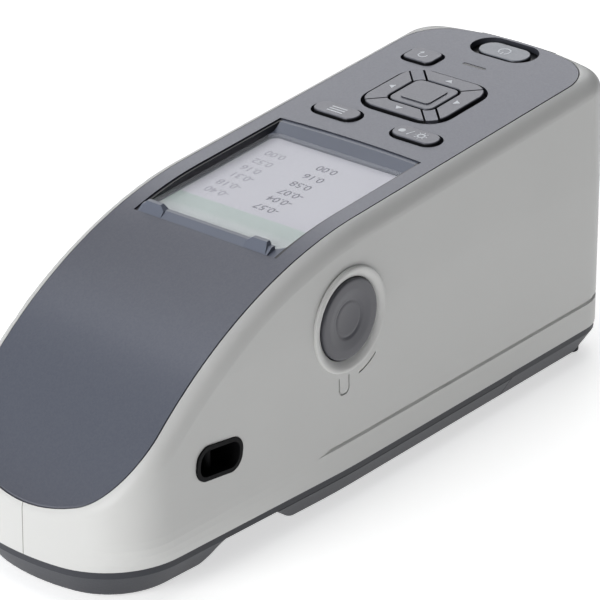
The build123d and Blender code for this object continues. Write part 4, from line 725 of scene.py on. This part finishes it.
returnMark = {"at": (78.0, 16.2), "ring": (1.1, 1.5), "from": -60, "to": 200,
              "head": [(1.9, -1.0), (0.3, -0.9), (1.0, -2.2)]}
hook = arcShapes(0, returnMark["ring"], returnMark["from"], returnMark["to"]) + [returnMark["head"]]
printMark("cornerReturn", hook, returnMark["at"], capTops["key"], "corner_key")

powerMark = {"at": (94.7, 0.0), "ring": (1.5, 1.95), "from": 120, "to": 420, "bar": (0, 0.5, 0, 2.3, 0.45)}
sign = arcShapes(0, powerMark["ring"], powerMark["from"], powerMark["to"]) + [barShape(*powerMark["bar"])]
printMark("powerRing", sign, powerMark["at"], capTops["power"], "power_key")
print("marks printed")

# The stage: a pale table that runs on past the picture
tableLook = {"reach": 8.0, "tint": "#f4f4f3", "shade": "#f2f2f1", "cloud": 300, "glow": 0.6, "roughness": 0.9,
             "specular": 0.1}
reach = tableLook["reach"]
corners = [(-reach, -reach, 0), (reach, -reach, 0), (reach, reach, 0), (-reach, reach, 0)]
table = bpy.data.objects.new("paleTable", meshFrom("paleTable", corners, [(0, 1, 2, 3)]))
bpy.context.scene.collection.objects.link(table)
tableFinish, tableTree, tableShader, tablePlace = startMaterial("paperSweep", {
    "Roughness": tableLook["roughness"], "Specular IOR Level": tableLook["specular"],
    "Emission Color": toLinear("#ffffff"), "Emission Strength": tableLook["glow"]})
cloudy = {"Scale": 1 / (tableLook["cloud"] * mm)}
paper = addNode(tableTree, "ShaderNodeTexNoise", cloudy, {"Vector": tablePlace})
colourFrom(tableTree, tableShader, paper.outputs["Fac"], tableLook)
table.data.materials.append(tableFinish)

# Camera: a long lens from the nose's right, as the photograph was taken
cameraLook = {"turn": 50.58, "rise": 25.65, "distance": 941.0, "target": (-0.2, -3.24, 43.07), "lens": 211.0,
              "sensor": 36.0, "clip": (0.01, 50.0)}
turn, rise = math.radians(cameraLook["turn"]), math.radians(cameraLook["rise"])
back = Vector((-math.sin(turn) * math.cos(rise), -math.cos(turn) * math.cos(rise), math.sin(rise)))
cameraData = bpy.data.cameras.new("photoCamera")
cameraData.lens = cameraLook["lens"]
cameraData.sensor_width = cameraLook["sensor"]
cameraData.clip_start, cameraData.clip_end = cameraLook["clip"]
camera = bpy.data.objects.new("photoCamera", cameraData)
camera.location = (Vector(cameraLook["target"]) + back * cameraLook["distance"]) * mm
camera.rotation_euler = back.to_track_quat("Z", "Y").to_euler()
bpy.context.scene.collection.objects.link(camera)
bpy.context.scene.camera = camera

# Lights: a big softbox before the nose, one overhead, a pale wall behind that the panel's far half mirrors,
# and a small cool card that its curved nose mirrors
lightsAimAt = Vector((0, 0, 0.04))
lights = {
    "noseSoftbox": {"at": (-1.35, 0.1, 0.5), "size": (0.8, 0.8), "power": 13.0, "colour": (1.0, 1.0, 1.0)},
    "overheadSoftbox": {"at": (0.15, 0.35, 1.5), "size": (1.4, 1.4), "power": 9.0, "colour": (1.0, 1.0, 1.0)},
    "paleWall": {"at": (1.25, 1.15, 1.0), "size": (1.6, 1.0), "power": 9.0, "colour": (1.0, 1.0, 1.0)},
    "coolCard": {"at": (-0.65, 0.95, 1.1), "size": (1.0, 1.0), "power": 2.8, "colour": (0.82, 0.9, 1.0)},
}
for name, look in lights.items():
    lamp = bpy.data.lights.new(name, "AREA")
    lamp.shape = "RECTANGLE"
    lamp.size, lamp.size_y = look["size"]
    lamp.energy = look["power"]
    lamp.color = look["colour"]
    holder = bpy.data.objects.new(name, lamp)
    holder.location = look["at"]
    holder.rotation_euler = (Vector(look["at"]) - lightsAimAt).to_track_quat("Z", "Y").to_euler()
    bpy.context.scene.collection.objects.link(holder)

# The room round the table: paler near the horizon, dark blue-grey overhead
roomLook = {"low": "#b4b4b6", "high": "#5c626c", "highFrom": 0.8, "strength": 0.3}
world = bpy.data.worlds.new("studioRoom")
world.use_nodes = True
room = world.node_tree
room.nodes.clear()
direction = addNode(room, "ShaderNodeTexCoord").outputs["Generated"]
sky = addNode(room, "ShaderNodeSeparateXYZ", {}, {"Vector": direction})
fade = addNode(room, "ShaderNodeMapRange", {"From Max": roomLook["highFrom"]}, {"Value": sky.outputs["Z"]})
tones = {"data_type": "RGBA", 6: toLinear(roomLook["low"]), 7: toLinear(roomLook["high"])}
tone = addNode(room, "ShaderNodeMix", tones, {0: fade.outputs["Result"]})
air = addNode(room, "ShaderNodeBackground", {"Strength": roomLook["strength"]}, {"Color": tone.outputs[2]})
addNode(room, "ShaderNodeOutputWorld", {}, {"Surface": air.outputs["Background"]})
bpy.context.scene.world = world
bpy.context.scene.view_settings.view_transform = "Standard"
print("stage, camera and lights set")
